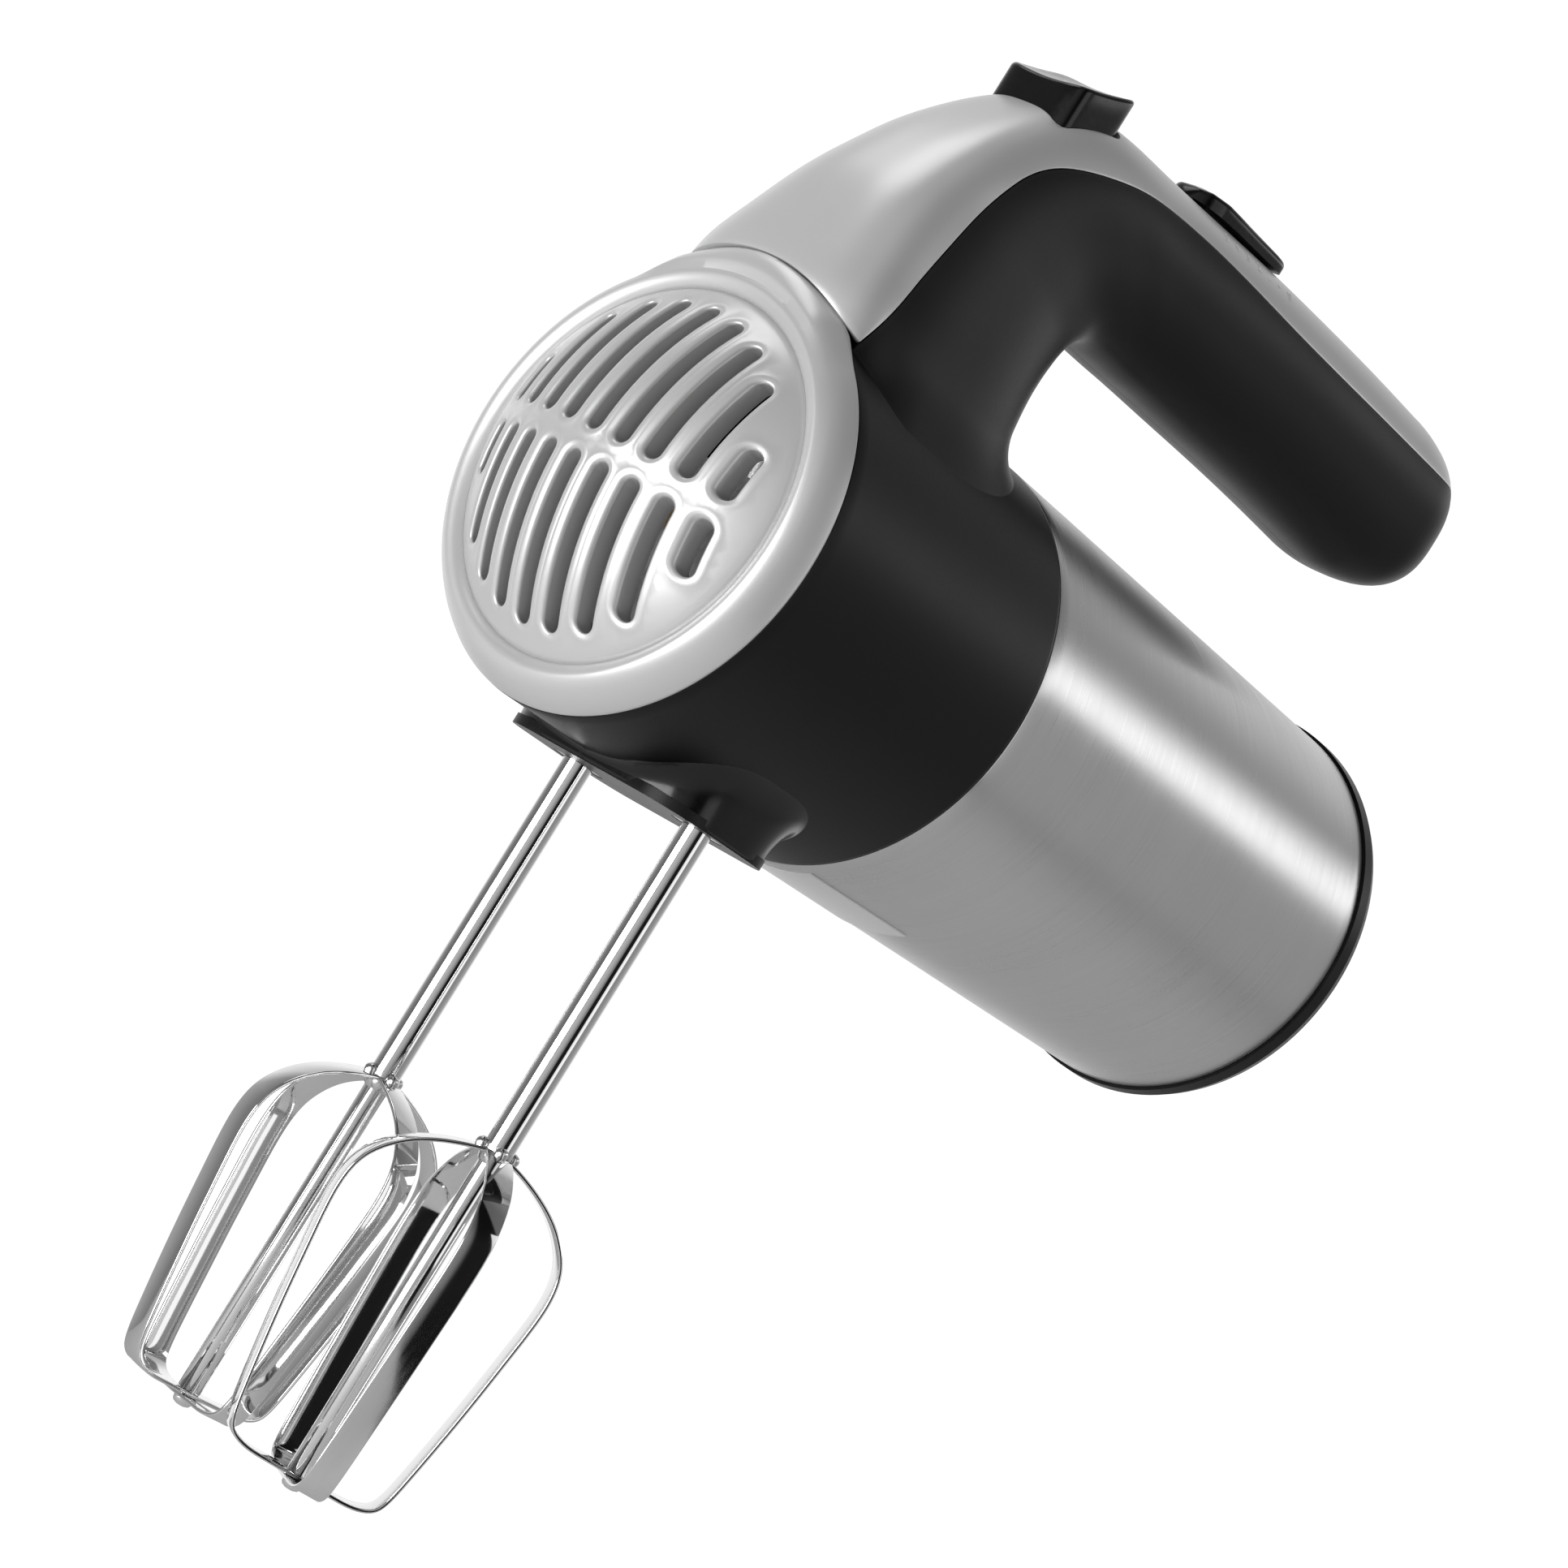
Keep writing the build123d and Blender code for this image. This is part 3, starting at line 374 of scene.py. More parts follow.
@dataclass(frozen=True)
class Finish:
    """One procedural surface finish."""

    name: str
    colour: float
    metallic: float
    roughness: float
    spread: float = 0.05
    shade: float = 0.12
    grain: Grain = Grain.EVEN
    grain_scale: float = 1400.0
    bump: float = 0.05
    bump_depth: float = 0.00005
    anisotropy: float = 0.0
    coat: float = 0.0
    tint: tuple[float, float, float] = (1.0, 1.0, 1.0)
    wear: float = 0.0
    shine: float = 0.5

    def build(self) -> bpy.types.Material:
        """Make the node material.

        Returns:
            The material, ready to assign.
        """
        material = bpy.data.materials.new(self.name)
        material.use_nodes = True
        tree = material.node_tree
        where = add_node(tree, "ShaderNodeTexCoord", {}).outputs["Object"]
        turn = add_node(tree, "ShaderNodeMapping",
                        {"Vector": where, "Scale": GRAIN_STRETCH[self.grain]})
        fine = add_node(tree, "ShaderNodeTexNoise", {
            "Vector": turn.outputs["Vector"], "Scale": self.grain_scale, "Detail": 4.0,
            "Roughness": 0.6})
        broad = add_node(tree, "ShaderNodeTexNoise",
                         {"Vector": where, "Scale": BLOTCH_SCALE, "Detail": 5.0})
        both = add_node(tree, "ShaderNodeMix", {
            "Factor": BLOTCH_SHARE, "A": fine.outputs["Fac"], "B": broad.outputs["Fac"]},
            data_type="FLOAT")
        ramp = add_node(tree, "ShaderNodeValToRGB", {"Fac": both.outputs["Result"]})
        for end, place, change in zip(ramp.color_ramp.elements, NOISE_SPAN,
                                      (-self.shade, self.shade)):
            end.position = place
            end.color = [min(1, self.colour * t * (1 + change)) for t in self.tint] + [1]
        colour = ramp.outputs["Color"]
        if self.wear:
            colour = self.edge_wear(tree, colour)
        rough = add_node(tree, "ShaderNodeMapRange", {
            "Value": both.outputs["Result"], "From Min": NOISE_SPAN[0],
            "From Max": NOISE_SPAN[1], "To Min": max(0.02, self.roughness - self.spread),
            "To Max": self.roughness + self.spread})
        bump = add_node(tree, "ShaderNodeBump", {
            "Strength": self.bump, "Distance": self.bump_depth, "Height": fine.outputs["Fac"]})
        shader = tree.nodes["Principled BSDF"]
        fill_inputs(tree, shader, {
            "Base Color": colour, "Metallic": self.metallic, "Specular IOR Level": self.shine,
            "Coat Weight": self.coat, "Coat Roughness": 0.12, "Anisotropic": self.anisotropy,
            "Roughness": rough.outputs["Result"], "Normal": bump.outputs["Normal"]})
        if self.anisotropy:
            tangent = add_node(tree, "ShaderNodeTangent", {}, direction_type="RADIAL",
                               axis="Y" if self.grain is Grain.ROUND_BARREL else "Z")
            fill_inputs(tree, shader, {"Tangent": tangent.outputs["Tangent"],
                                       "Anisotropic Rotation": 0.25})
        return material

    def edge_wear(self, tree: bpy.types.NodeTree, colour: bpy.types.NodeSocket
                  ) -> bpy.types.NodeSocket:
        """Lighten the handled edges a little.

        Args:
            tree: the material's node tree.
            colour: the colour before wear.

        Returns:
            The colour with wear.
        """
        shape = add_node(tree, "ShaderNodeNewGeometry", {})
        edge = add_node(tree, "ShaderNodeMapRange", {
            "Value": shape.outputs["Pointiness"], "From Min": 0.53, "From Max": 0.6,
            "To Max": self.wear})
        mix = add_node(tree, "ShaderNodeMix", {
            "Factor": edge.outputs["Result"], "A": colour, "B": (0.5, 0.5, 0.5, 1)},
            data_type="RGBA", blend_type="ADD")
        return mix.outputs["Result"]


FINISHES = (
    Finish("matte_black", 0.0028, 0.0, 0.40, 0.05, 0.12, bump=0.2, bump_depth=0.00006,
           grain_scale=2600.0, wear=0.01, shine=0.20),
    Finish("gloss_black", 0.003, 0.0, 0.20, 0.05, 0.12, bump=0.05, grain_scale=900.0, coat=0.08,
           wear=0.01, shine=0.35),
    Finish("satin_silver", 0.58, 0.45, 0.36, 0.03, 0.02, bump=0.06, grain_scale=5200.0,
           bump_depth=0.00002),
    Finish("brushed_steel", 0.60, 1.0, 0.30, 0.05, 0.05, grain=Grain.ROUND_BARREL, bump=0.12,
           bump_depth=0.00003, grain_scale=2100.0, anisotropy=0.75),
    Finish("polished_steel", 0.72, 1.0, 0.07, 0.025, 0.03, grain=Grain.UPRIGHT, bump=0.01,
           bump_depth=0.00001, grain_scale=1500.0),
    Finish("weld_steel", 0.62, 1.0, 0.22, 0.08, 0.10, bump=0.5, bump_depth=0.0002,
           grain_scale=700.0),
    Finish("white_ink", 0.86, 0.0, 0.45, 0.04, 0.04, bump=0.04, grain_scale=2600.0),
    Finish("die_cast", 0.30, 0.9, 0.48, 0.08, 0.15, bump=0.4, grain_scale=500.0,
           bump_depth=0.0002),
    Finish("zinc_steel", 0.45, 1.0, 0.32, 0.08, 0.10, bump=0.1, grain_scale=900.0),
    Finish("bronze", 0.42, 1.0, 0.36, 0.08, 0.12, tint=(1.0, 0.72, 0.42), bump=0.12),
    Finish("lamination", 0.16, 0.8, 0.5, 0.08, 0.25, grain=Grain.ROUND_BARREL, bump=0.5,
           grain_scale=1800.0, bump_depth=0.0001),
    Finish("copper_wire", 0.42, 0.9, 0.34, 0.08, 0.3, grain=Grain.ROUND_BARREL,
           tint=(1.0, 0.46, 0.22), bump=0.6, grain_scale=900.0, bump_depth=0.0002),
    Finish("nylon", 0.55, 0.0, 0.48, 0.06, 0.06, bump=0.1, tint=(1.0, 0.99, 0.94)),
    Finish("board", 0.12, 0.0, 0.4, 0.05, 0.2, tint=(0.5, 1.0, 0.55), bump=0.1),
    Finish("carbon", 0.03, 0.0, 0.55, 0.06, 0.2, bump=0.2),
    Finish("rubber", 0.02, 0.0, 0.62, 0.06, 0.15, bump=0.3, grain_scale=1800.0),
    Finish("label_foil", 0.72, 0.3, 0.42, 0.05, 0.05, bump=0.04, grain_scale=2600.0),
)

CAD_FINISH = {
    "black_plastic": "matte_black", "satin_silver": "satin_silver",
    "brushed_steel": "brushed_steel", "label_foil": "label_foil", "button_black": "gloss_black",
    "polished_steel": "polished_steel", "die_cast": "die_cast", "zinc_steel": "zinc_steel",
    "bronze": "bronze", "lamination": "lamination", "copper_wire": "copper_wire",
    "nylon": "nylon", "board": "board", "carbon": "carbon", "rubber": "rubber",
}


class Shelf:
    """The finishes, made once and handed out by name."""

    def __init__(self) -> None:
        """Build every finish."""
        self.made = {finish.name: finish.build() for finish in FINISHES}

    def __getitem__(self, name: str) -> bpy.types.Material:
        """Give the material with this name."""
        return self.made[name]

    def dress_frame(self) -> None:
        """Give every CAD node that stays the finish of its slot."""
        slots = {part["node"]: part["material_slot"] for part in frame["record"]["subparts"]}
        for node, piece in frame["nodes"].items():
            material = self[CAD_FINISH[slots[node]]]
            if not piece.data.materials:
                piece.data.materials.append(material)
            for place in range(len(piece.material_slots)):
                piece.material_slots[place].material = material


# ---------------------------------------------------------------- handle: cover and grip
@dataclass
class Handle:
    """Leg and grip as one run of rounded sections, parted into silver cover and black grip.

    A section joins a point of the outer line to a point of the inner line; both are (y, z).
    """

    outer: tuple[Pair, ...] = (
        (-214.4, 28.0), (-214.0, 38.0), (-213.5, 48.5), (-211.2, 57.0), (-208.3, 65.3),
        (-204.9, 72.8), (-200.1, 80.4), (-195.2, 87.1), (-189.7, 93.3), (-183.5, 99.2),
        (-177.2, 104.1), (-170.2, 108.0), (-162.0, 110.6), (-152.5, 111.6), (-143.0, 111.8),
        (-128.0, 112.0), (-100.0, 112.7), (-75.0, 112.8), (-50.0, 112.5), (-34.0, 112.0))
    inner: tuple[Pair, ...] = (
        (-147.0, 28.0), (-146.9, 38.0), (-146.7, 47.0), (-146.0, 54.0), (-144.6, 60.0),
        (-142.8, 64.8), (-141.0, 68.4), (-138.9, 71.2), (-136.9, 72.9), (-134.6, 73.6),
        (-131.6, 73.8), (-128.0, 73.8), (-124.0, 73.8), (-120.5, 73.8), (-116.5, 73.8),
        (-109.5, 73.9), (-92.0, 73.9), (-72.0, 73.9), (-49.0, 73.5), (-34.0, 73.0))
    half_width: tuple[float, ...] = (
        30.6, 29.2, 27.3, 25.1, 23.1, 21.4, 20.0, 19.1, 18.4, 17.9,
        17.6, 17.4, 17.2, 17.1, 17.0, 17.0, 17.0, 17.0, 17.0, 17.0)
    outer_fullness: tuple[float, ...] = (
        3.8, 3.8, 3.8, 3.6, 3.45, 3.35, 3.3, 3.3, 3.2, 3.1,
        3.0, 2.9, 2.8, 2.7, 2.6, 2.6, 2.6, 2.6, 2.6, 2.6)
    inner_fullness: tuple[float, ...] = (
        3.0, 3.0, 2.95, 2.9, 2.85, 2.8, 2.75, 2.7, 2.7, 2.7,
        2.7, 2.7, 2.7, 2.7, 2.7, 2.7, 2.7, 2.7, 2.7, 2.7)
    split: tuple[Pair, ...] = (
        (-209.0, 34.0), (-206.0, 42.6), (-201.4, 53.0), (-198.2, 60.5), (-194.7, 68.2),
        (-190.9, 76.0), (-186.7, 83.4), (-181.6, 90.0), (-175.6, 94.6), (-169.0, 97.7),
        (-161.0, 100.4), (-152.0, 102.7), (-141.5, 104.1), (-126.0, 104.8), (-91.0, 104.0),
        (-55.0, 103.5), (-24.5, 103.2), (10.0, 103.0))
    end_y: float = -6.0
    end_z: float = 92.5
    gap: float = 0.15
    barrel_r: float = 47.0
    barrel_taper: float = 0.6 / 72.9
    ring_y: float = -208.4
    neck_r: float = 48.85
    fillet: float = 6.5
    wall: float = 1.8
    dense_rows: int = 420
    end_rows: int = 60
    rows: int = 170
    button_y: Pair = (-177.4, -159.5)
    button_x: float = 11.3
    arc_steps: int = 260
    tip_reach: float = 25.0

    def sections(self) -> tuple[np.ndarray, ...]:
        """Outer points, inner points, half widths and fullness of the dense rows.

        Returns:
            Four arrays with one row for each section.
        """
        outer, inner = np.array(self.outer), np.array(self.inner)
        middle = (outer + inner) / 2
        inside_step = np.linalg.norm(np.diff(middle, axis=0), axis=1)
        outside_step = np.linalg.norm(np.diff(outer, axis=0), axis=1)
        run = np.concatenate(([0], np.cumsum(inside_step + 0.35 * outside_step)))
        table = np.column_stack((outer, inner, self.half_width, self.outer_fullness,
                                 self.inner_fullness))
        body = spline(run, table, np.linspace(0, run[-1], self.dense_rows))
        start = self.outer[-1][0]
        top, bottom, half = self.outer[-1][1], self.inner[-1][1], self.half_width[-1]
        end = []
        for turn in np.linspace(0, math.pi / 2, self.end_rows)[1:]:
            y = start + (self.end_y - start) * math.sin(turn)
            up = self.shoulder(y, start, 2.15)
            down = self.shoulder(y, start, 2.25)
            side = self.shoulder(y, self.end_y - half, 2.0)
            end.append((y, self.end_z + (top - self.end_z) * up,
                        y, self.end_z - (self.end_z - bottom) * down, half * side,
                        self.outer_fullness[-1], self.inner_fullness[-1]))
        rows = np.vstack((body, end))
        return rows[:, :2], rows[:, 2:4], rows[:, 4], rows[:, 5:]

    def shoulder(self, y: float, start: float, power: float) -> float:
        """How much of a size is left at y on the rounded end that begins at start."""
        share = min(1.0, max(0.0, (y - start) / (self.end_y - start)))
        return max(0.0, 1.0 - share**power) ** (1.0 / power)

    def split_depth(self, outer: np.ndarray, inner: np.ndarray) -> float:
        """Depth coordinate at which a section crosses the joint between cover and grip.

        Args:
            outer: the section's outer point.
            inner: its inner point.

        Returns:
            Distance from the middle of the section towards the outer point.
        """
        line = through(self.split, 160)
        middle = (outer + inner) / 2
        length = np.linalg.norm(outer - inner)
        if length < 1e-6:
            return 0.0
        axis = (outer - inner) / length
        side = (line[:, 0] - middle[0]) * axis[1] - (line[:, 1] - middle[1]) * axis[0]
        depth = (line - middle) @ axis
        crossing = np.nonzero((side[:-1] * side[1:] <= 0))[0]
        if not len(crossing):
            return length / 2
        best = max(crossing, key=lambda i: depth[i])
        share = side[best] / (side[best] - side[best + 1] + 1e-12)
        return float(depth[best] + share * (depth[best + 1] - depth[best]))

    def loop(self, outer: np.ndarray, inner: np.ndarray, half: float, powers: np.ndarray,
             limits: Pair, shares: np.ndarray) -> np.ndarray:
        """Part of one rounded section.

        Args:
            outer: outer point.
            inner: inner point.
            half: half width.
            powers: fullness of the outer and of the inner side.
            limits: first and last angle, 90 at the outer point, in radians.
            shares: places along that part, from 0 to 1.

        Returns:
            Points in millimetres.
        """
        angles = np.linspace(limits[0], limits[1], self.arc_steps)
        middle = (outer + inner) / 2
        deep = np.linalg.norm(outer - inner) / 2
        axis = (outer - inner) / (2 * deep) if deep > 1e-9 else np.array((0.0, 1.0))
        c, s = np.cos(angles), np.sin(angles)
        power = np.where(s > 0, powers[0], powers[1])
        x = half * np.sign(c) * np.abs(c) ** (2 / power)
        d = deep * np.sign(s) * np.abs(s) ** (2 / power)
        line = np.column_stack((x, middle[0] + axis[0] * d, middle[1] + axis[1] * d))
        return respaced(line, shares)

    def surface(self, cover: bool, shares: np.ndarray) -> np.ndarray:
        """Dense rows of the cover's or the grip's outside.

        Args:
            cover: whether the silver cover is wanted, rather than the grip.
            shares: places round the section, from the right side to the left.

        Returns:
            Array of (rows, columns, 3) in millimetres.
        """
        outers, inners, halves, powers = self.sections()
        grid = []
        for outer, inner, half, pair in zip(outers, inners, halves, powers):
            deep = np.linalg.norm(outer - inner) / 2
            edge = self.split_depth(outer, inner) + (self.gap if cover else -self.gap)
            ratio = 0.0 if deep < 1e-6 else min(1.0, max(-1.0, edge / deep))
            if cover and ratio > 0.999 and outer[0] > self.end_y - self.tip_reach:
                break
            power = pair[0] if ratio > 0 else pair[1]
            angle = math.asin(math.copysign(abs(ratio) ** (power / 2), ratio))
            limits = (angle, math.pi - angle) if cover else (angle, -math.pi - angle)
            grid.append(self.loop(outer, inner, half, pair, limits, shares))
        return np.array(grid)

    def barrel_at(self, y: np.ndarray) -> np.ndarray:
        """Radius of the black barrel at y."""
        return self.barrel_r - self.barrel_taper * (y - self.ring_y)

    @staticmethod
    def rows_from(grid: np.ndarray, starts: np.ndarray, count: int) -> np.ndarray:
        """Read each column again from its own starting row to the last.

        Args:
            grid: (rows, columns, 3) array.
            starts: fractional starting row for each column.
            count: number of rows wanted.

        Returns:
            Array of (count, columns, 3).
        """
        last = grid.shape[0] - 1
        share = np.linspace(0, 1, count)[:, None]
        at = starts[None, :] + (last - starts[None, :]) * share
        low = np.clip(np.floor(at).astype(int), 0, last - 1)
        part = (at - low)[..., None]
        column = np.arange(grid.shape[1])[None, :]
        return grid[low, column] * (1 - part) + grid[low + 1, column] * part

    @staticmethod
    def crossing(height: np.ndarray) -> np.ndarray:
        """Fractional row at which each column of heights last rises through zero."""
        starts = []
        for column in height.T:
            below = np.nonzero(column[:FOOT_ROWS] <= 0)[0]
            row = int(below[-1]) if len(below) else 0
            a, b = column[row], column[row + 1]
            starts.append(row + (0.0 if b == a else min(1.0, max(0.0, -a / (b - a)))))
        return np.array(starts)

    def cover_points(self) -> np.ndarray:
        """Outside of the silver cover, from the saddle on the nose ring to the grip's end."""
        grid = self.surface(True, np.linspace(0, 1, 73))
        height = np.hypot(grid[..., 0], grid[..., 2]) - self.neck_r
        return self.rows_from(grid, self.crossing(height), self.rows)

    def grip_points(self) -> np.ndarray:
        """Outside of the black leg and grip, flared onto the barrel."""
        half = np.concatenate((np.linspace(0, 0.4965, 56), [0.4993]))
        shares = np.concatenate((half, [0.5], 1 - half[::-1]))
        grid = self.surface(False, shares)
        radius = np.hypot(grid[..., 0], grid[..., 2])
        height = radius - self.barrel_at(grid[..., 1])
        starts = self.crossing(height + 0.5)
        grid = self.rows_from(grid, starts, self.rows)
        radius = np.hypot(grid[..., 0], grid[..., 2])
        height = radius - self.barrel_at(grid[..., 1])
        turn = np.arctan2(grid[..., 0], grid[..., 2])
        foot = np.column_stack((turn[0] * self.barrel_r, grid[0, :, 1]))
        along = np.gradient(foot, axis=0)
        along /= np.linalg.norm(along, axis=1)[:, None] + 1e-12
        out = np.column_stack((-along[:, 1], along[:, 0]))
        middle = foot.mean(axis=0)
        out *= np.sign(np.sum(out * (foot - middle), axis=1))[:, None]
        fade = np.array([smoothstep((y - self.ring_y - 3.0) / 16.0) for y in foot[:, 1]])
        low = np.clip((self.fillet - height) / self.fillet, 0.0, 1.06)
        reach = self.fillet * (1 - np.sqrt(np.clip(1 - np.minimum(low, 1.0) ** 2, 0, 1)))
        reach = reach * fade[None, :]
        turn = turn + reach * out[None, :, 0] / self.barrel_r
        y = grid[..., 1] + reach * out[None, :, 1]
        flared = self.barrel_at(y) + height
        moved = height < self.fillet
        made = np.where(moved, flared, radius)
        points = np.stack((made * np.sin(turn), y, made * np.cos(turn)), axis=-1)
        points[:, len(shares) // 2] -= self.groove_shift(points, len(shares) // 2)
        return points

    @staticmethod
    def groove_shift(points: np.ndarray, column: int) -> np.ndarray:
        """Small move into the surface that makes the parting line of the halves."""
        before, after = points[:, column - 1], points[:, column + 1]
        across = after - before
        along = np.gradient(points[:, column], axis=0)
        normal = np.cross(across, along)
        size = np.linalg.norm(normal, axis=1)[:, None]
        normal = np.where(size > 1e-9, normal / np.maximum(size, 1e-9), 0.0)
        middle = points.mean(axis=1)
        sign = np.sign(np.sum(normal * (points[:, column] - middle), axis=1))[:, None]
        return normal * sign * 0.22

    def build(self, shelf: Shelf) -> bpy.types.Object:
        """Make the cover and the grip.

        Args:
            shelf: the finishes.

        Returns:
            The cover, which the speed marks are laid on.
        """
        cover = tidy_mesh(wrapped("cover_shell", self.cover_points()))
        apply(cover, "SOLIDIFY", thickness=self.wall * MM, offset=-1.0, use_rim=True)
        self.open_for_button(cover)
        apply(cover, "BEVEL", width=0.22 * MM, segments=2, limit_method="ANGLE",
              angle_limit=math.radians(50))
        tidy_mesh(cover, 35)
        finish_piece(cover, "housing", shelf["satin_silver"], ("top_cover",))
        grip = tidy_mesh(wrapped("grip_shell", self.grip_points()))
        apply(grip, "SOLIDIFY", thickness=self.wall * MM, offset=-1.0, use_rim=True)
        tidy_mesh(grip, 45)
        finish_piece(grip, "housing", shelf["matte_black"],
                     ("housing_left", "housing_right"))
        return cover

    def open_for_button(self, cover: bpy.types.Object) -> None:
        """Cut the hole for the eject button and the slot for the slider's stem.

        Args:
            cover: the cover's mesh.
        """
        low_y, high_y = self.button_y
        hole = bevelled_box("button_hole", (-self.button_x, low_y, 90.0),
                            (self.button_x, high_y, 125.0), 2.4)
        slot = bevelled_box("stem_slot", (-3.1, -144.0, 104.0), (3.1, -96.0, 118.0), 1.2)
        for cutter in (hole, slot):
            apply(cover, "BOOLEAN", operation="DIFFERENCE", object=cutter, solver="EXACT")
            bpy.data.objects.remove(cutter)


# ---------------------------------------------------------------- nose: plate and ring
@dataclass
class Nose:
    """Domed grille plate with rolled slots, and the ring round it with its saddle."""

    dome_r: float = 57.0
    rim_r: float = 39.0
    rim_y: float = -213.86
    pitch: float = 7.45
    slot_half: float = 1.8
    ends: tuple[float, ...] = (34.3, 33.4, 30.65, 25.35, 13.2)
    bar: float = 2.3
    thickness: float = 4.2
    roll: float = 1.05
    bead: float = 0.14
    ring_rear: float = -208.4
    neck_r: float = 48.45
    steps: int = 256

    def dome(self, x: float, z: float) -> float:
        """Y of the plain dome at x, z."""
        centre = self.rim_y + math.sqrt(self.dome_r**2 - self.rim_r**2)
        return centre - math.sqrt(self.dome_r**2 - x * x - z * z)

    def slots(self) -> list[tuple[float, float, float]]:
        """Every slot as (x, lower z, higher z) of its end centres."""
        found = []
        for column in range(-4, 5):
            x = column * self.pitch
            end = self.ends[abs(column)] - self.slot_half
            for side in (-1, 1):
                near = side * (self.bar + self.slot_half)
                found.append((x, min(near, side * end), max(near, side * end)))
        return found

    def slot_line(self, slot: tuple[float, float, float], away: float) -> list[Pair]:
        """Closed outline round a slot at a distance from its wall.

        Args:
            slot: (x, lower z, higher z).
            away: distance outside the wall.

        Returns:
            Points in order round the slot.
        """
        x, low, high = slot
        radius = self.slot_half + away
        line = []
        for k in range(13):
            a = math.pi * k / 12
            line.append((x + radius * math.cos(a), high + radius * math.sin(a)))
        runs = max(1, round((high - low) / 2.2))
        for k in range(1, runs):
            line.append((x - radius, high + (low - high) * k / runs))
        for k in range(13):
            a = math.pi * (1 + k / 12)
            line.append((x + radius * math.cos(a), low + radius * math.sin(a)))
        for k in range(1, runs):
            line.append((x + radius, low + (high - low) * k / runs))
        return line

    def gap_to(self, x: float, z: float) -> float:
        """Distance from the nearest slot's wall, negative inside a slot."""
        return min(math.hypot(x - sx, z - min(max(z, low), high)) - self.slot_half
                   for sx, low, high in self.slots())

    def relief(self, away: float) -> float:
        """Depth below the dome at a distance from a slot's wall, negative where it stands up."""
        if away < self.roll:
            t = 1 - max(0.0, away) / self.roll
            return self.roll * (1 - math.sqrt(max(0.0, 1 - t * t)))
        t = (away - self.roll) / 0.75
        return -self.bead * math.sin(math.pi * t) if t < 1 else 0.0

    def plate(self) -> bpy.types.Object:
        """Make the grille plate.

        Returns:
            The plate as a closed mesh.
        """
        points: list[Pair] = []
        edges: list[tuple[int, int]] = []

        def add_line(line: Sequence[Pair]) -> None:
            """Add a closed line of points and its edges."""
            first = len(points)
            points.extend(line)
            edges.extend((first + k, first + (k + 1) % len(line)) for k in range(len(line)))

        for radius in (self.rim_r, 37.9, 36.9):
            count = 200 if radius > 38 else 160
            add_line([(radius * math.cos(2 * math.pi * k / count),
                       radius * math.sin(2 * math.pi * k / count)) for k in range(count)])
        for slot in self.slots():
            for away in (0.0, 0.06, 0.2, 0.42, 0.7, self.roll, 1.42, 1.82):
                add_line(self.slot_line(slot, away))
        step = 1.9
        reach = int(self.rim_r / step) + 1
        for i in range(-reach, reach + 1):
            for k in range(-reach, reach + 1):
                x, z = i * step + (step / 2 if k % 2 else 0), k * step * 0.87
                if math.hypot(x, z) < 36.2 and self.gap_to(x, z) > 2.4:
                    points.append((x, z))
        verts, _, faces, *_ = delaunay_2d_cdt([Vector(p) for p in points], edges, [], 1, 1e-5)
        kept = []
        for face in faces:
            cx = sum(verts[i][0] for i in face) / len(face)
            cz = sum(verts[i][1] for i in face) / len(face)
            if self.gap_to(cx, cz) > 0:
                kept.append(face)
        places = []
        for x, z in verts:
            away = self.gap_to(x, z)
            rim = max(0.0, (math.hypot(x, z) - 37.2) / 1.8)
            y = self.dome(x, z) + self.relief(away) + 0.35 * rim * rim
            places.append(Vector((x, y, z)) * MM)
        mesh = bpy.data.meshes.new("grille_plate")
        mesh.from_pydata(places, [], kept)
        piece = bpy.data.objects.new("grille_plate", mesh)
        bpy.context.collection.objects.link(piece)
        take(piece)
        bpy.ops.object.mode_set(mode="EDIT")
        bpy.ops.mesh.select_all(action="SELECT")
        bpy.ops.mesh.delete_loose()
        bpy.ops.mesh.select_all(action="SELECT")
        bpy.ops.mesh.extrude_region_move(
            TRANSFORM_OT_translate={"value": (0, self.thickness * MM, 0)})
        return tidy_mesh(piece, 50)

    def ring(self) -> bpy.types.Object:
        """Make the ring with the saddle under the cover's foot.

        Returns:
            The ring as a closed mesh.
        """
        plain = [(38.7, -213.0), (39.0, -213.9), (39.5, -214.5), (40.3, -214.98), (41.4, -215.36),
                 (42.0, -215.2), (42.7, -214.8), (43.5, -214.2), (44.3, -213.3), (45.1, -212.2),
                 (45.8, -211.1), (46.4, -209.9), (46.8, -209.0), (46.9, -208.7)]
        necked = plain[:7] + [(44.3, -215.5), (45.2, -215.34), (46.0, -215.12), (46.7, -214.86),
                              (47.4, -214.5), (48.0, -214.1), (48.45, -213.6)]
        rows = []
        for k in range(self.steps + 1):
            a = 2 * math.pi * k / self.steps
            x = 48.0 * math.sin(a)
            neck = smoothstep((31.0 - abs(x)) / 11.0) if math.cos(a) > 0 else 0.0
            drop = min(5.4, 0.0097 * x * x)
            line = []
            for i, (p, q) in enumerate(zip(plain, necked)):
                share = max(0.0, (i - 6) / 7)
                line.append((p[0] + (q[0] - p[0]) * neck,
                             p[1] + (q[1] + drop * share**1.5 - p[1]) * neck))
            edge_r, edge_y = line[-1]
            line.append((edge_r - 0.05, edge_y + 0.3))
            line.append((edge_r - 0.12, self.ring_rear + 0.12))
            line += [(44.6, self.ring_rear + 0.12), (44.0, -210.6), (38.7, -211.4), (38.7, -213.0)]
            rows.append([(r * math.sin(a), y, r * math.cos(a)) for r, y in line])
        piece = wrapped("nose_ring", np.array(rows))
        return tidy_mesh(piece, 50)

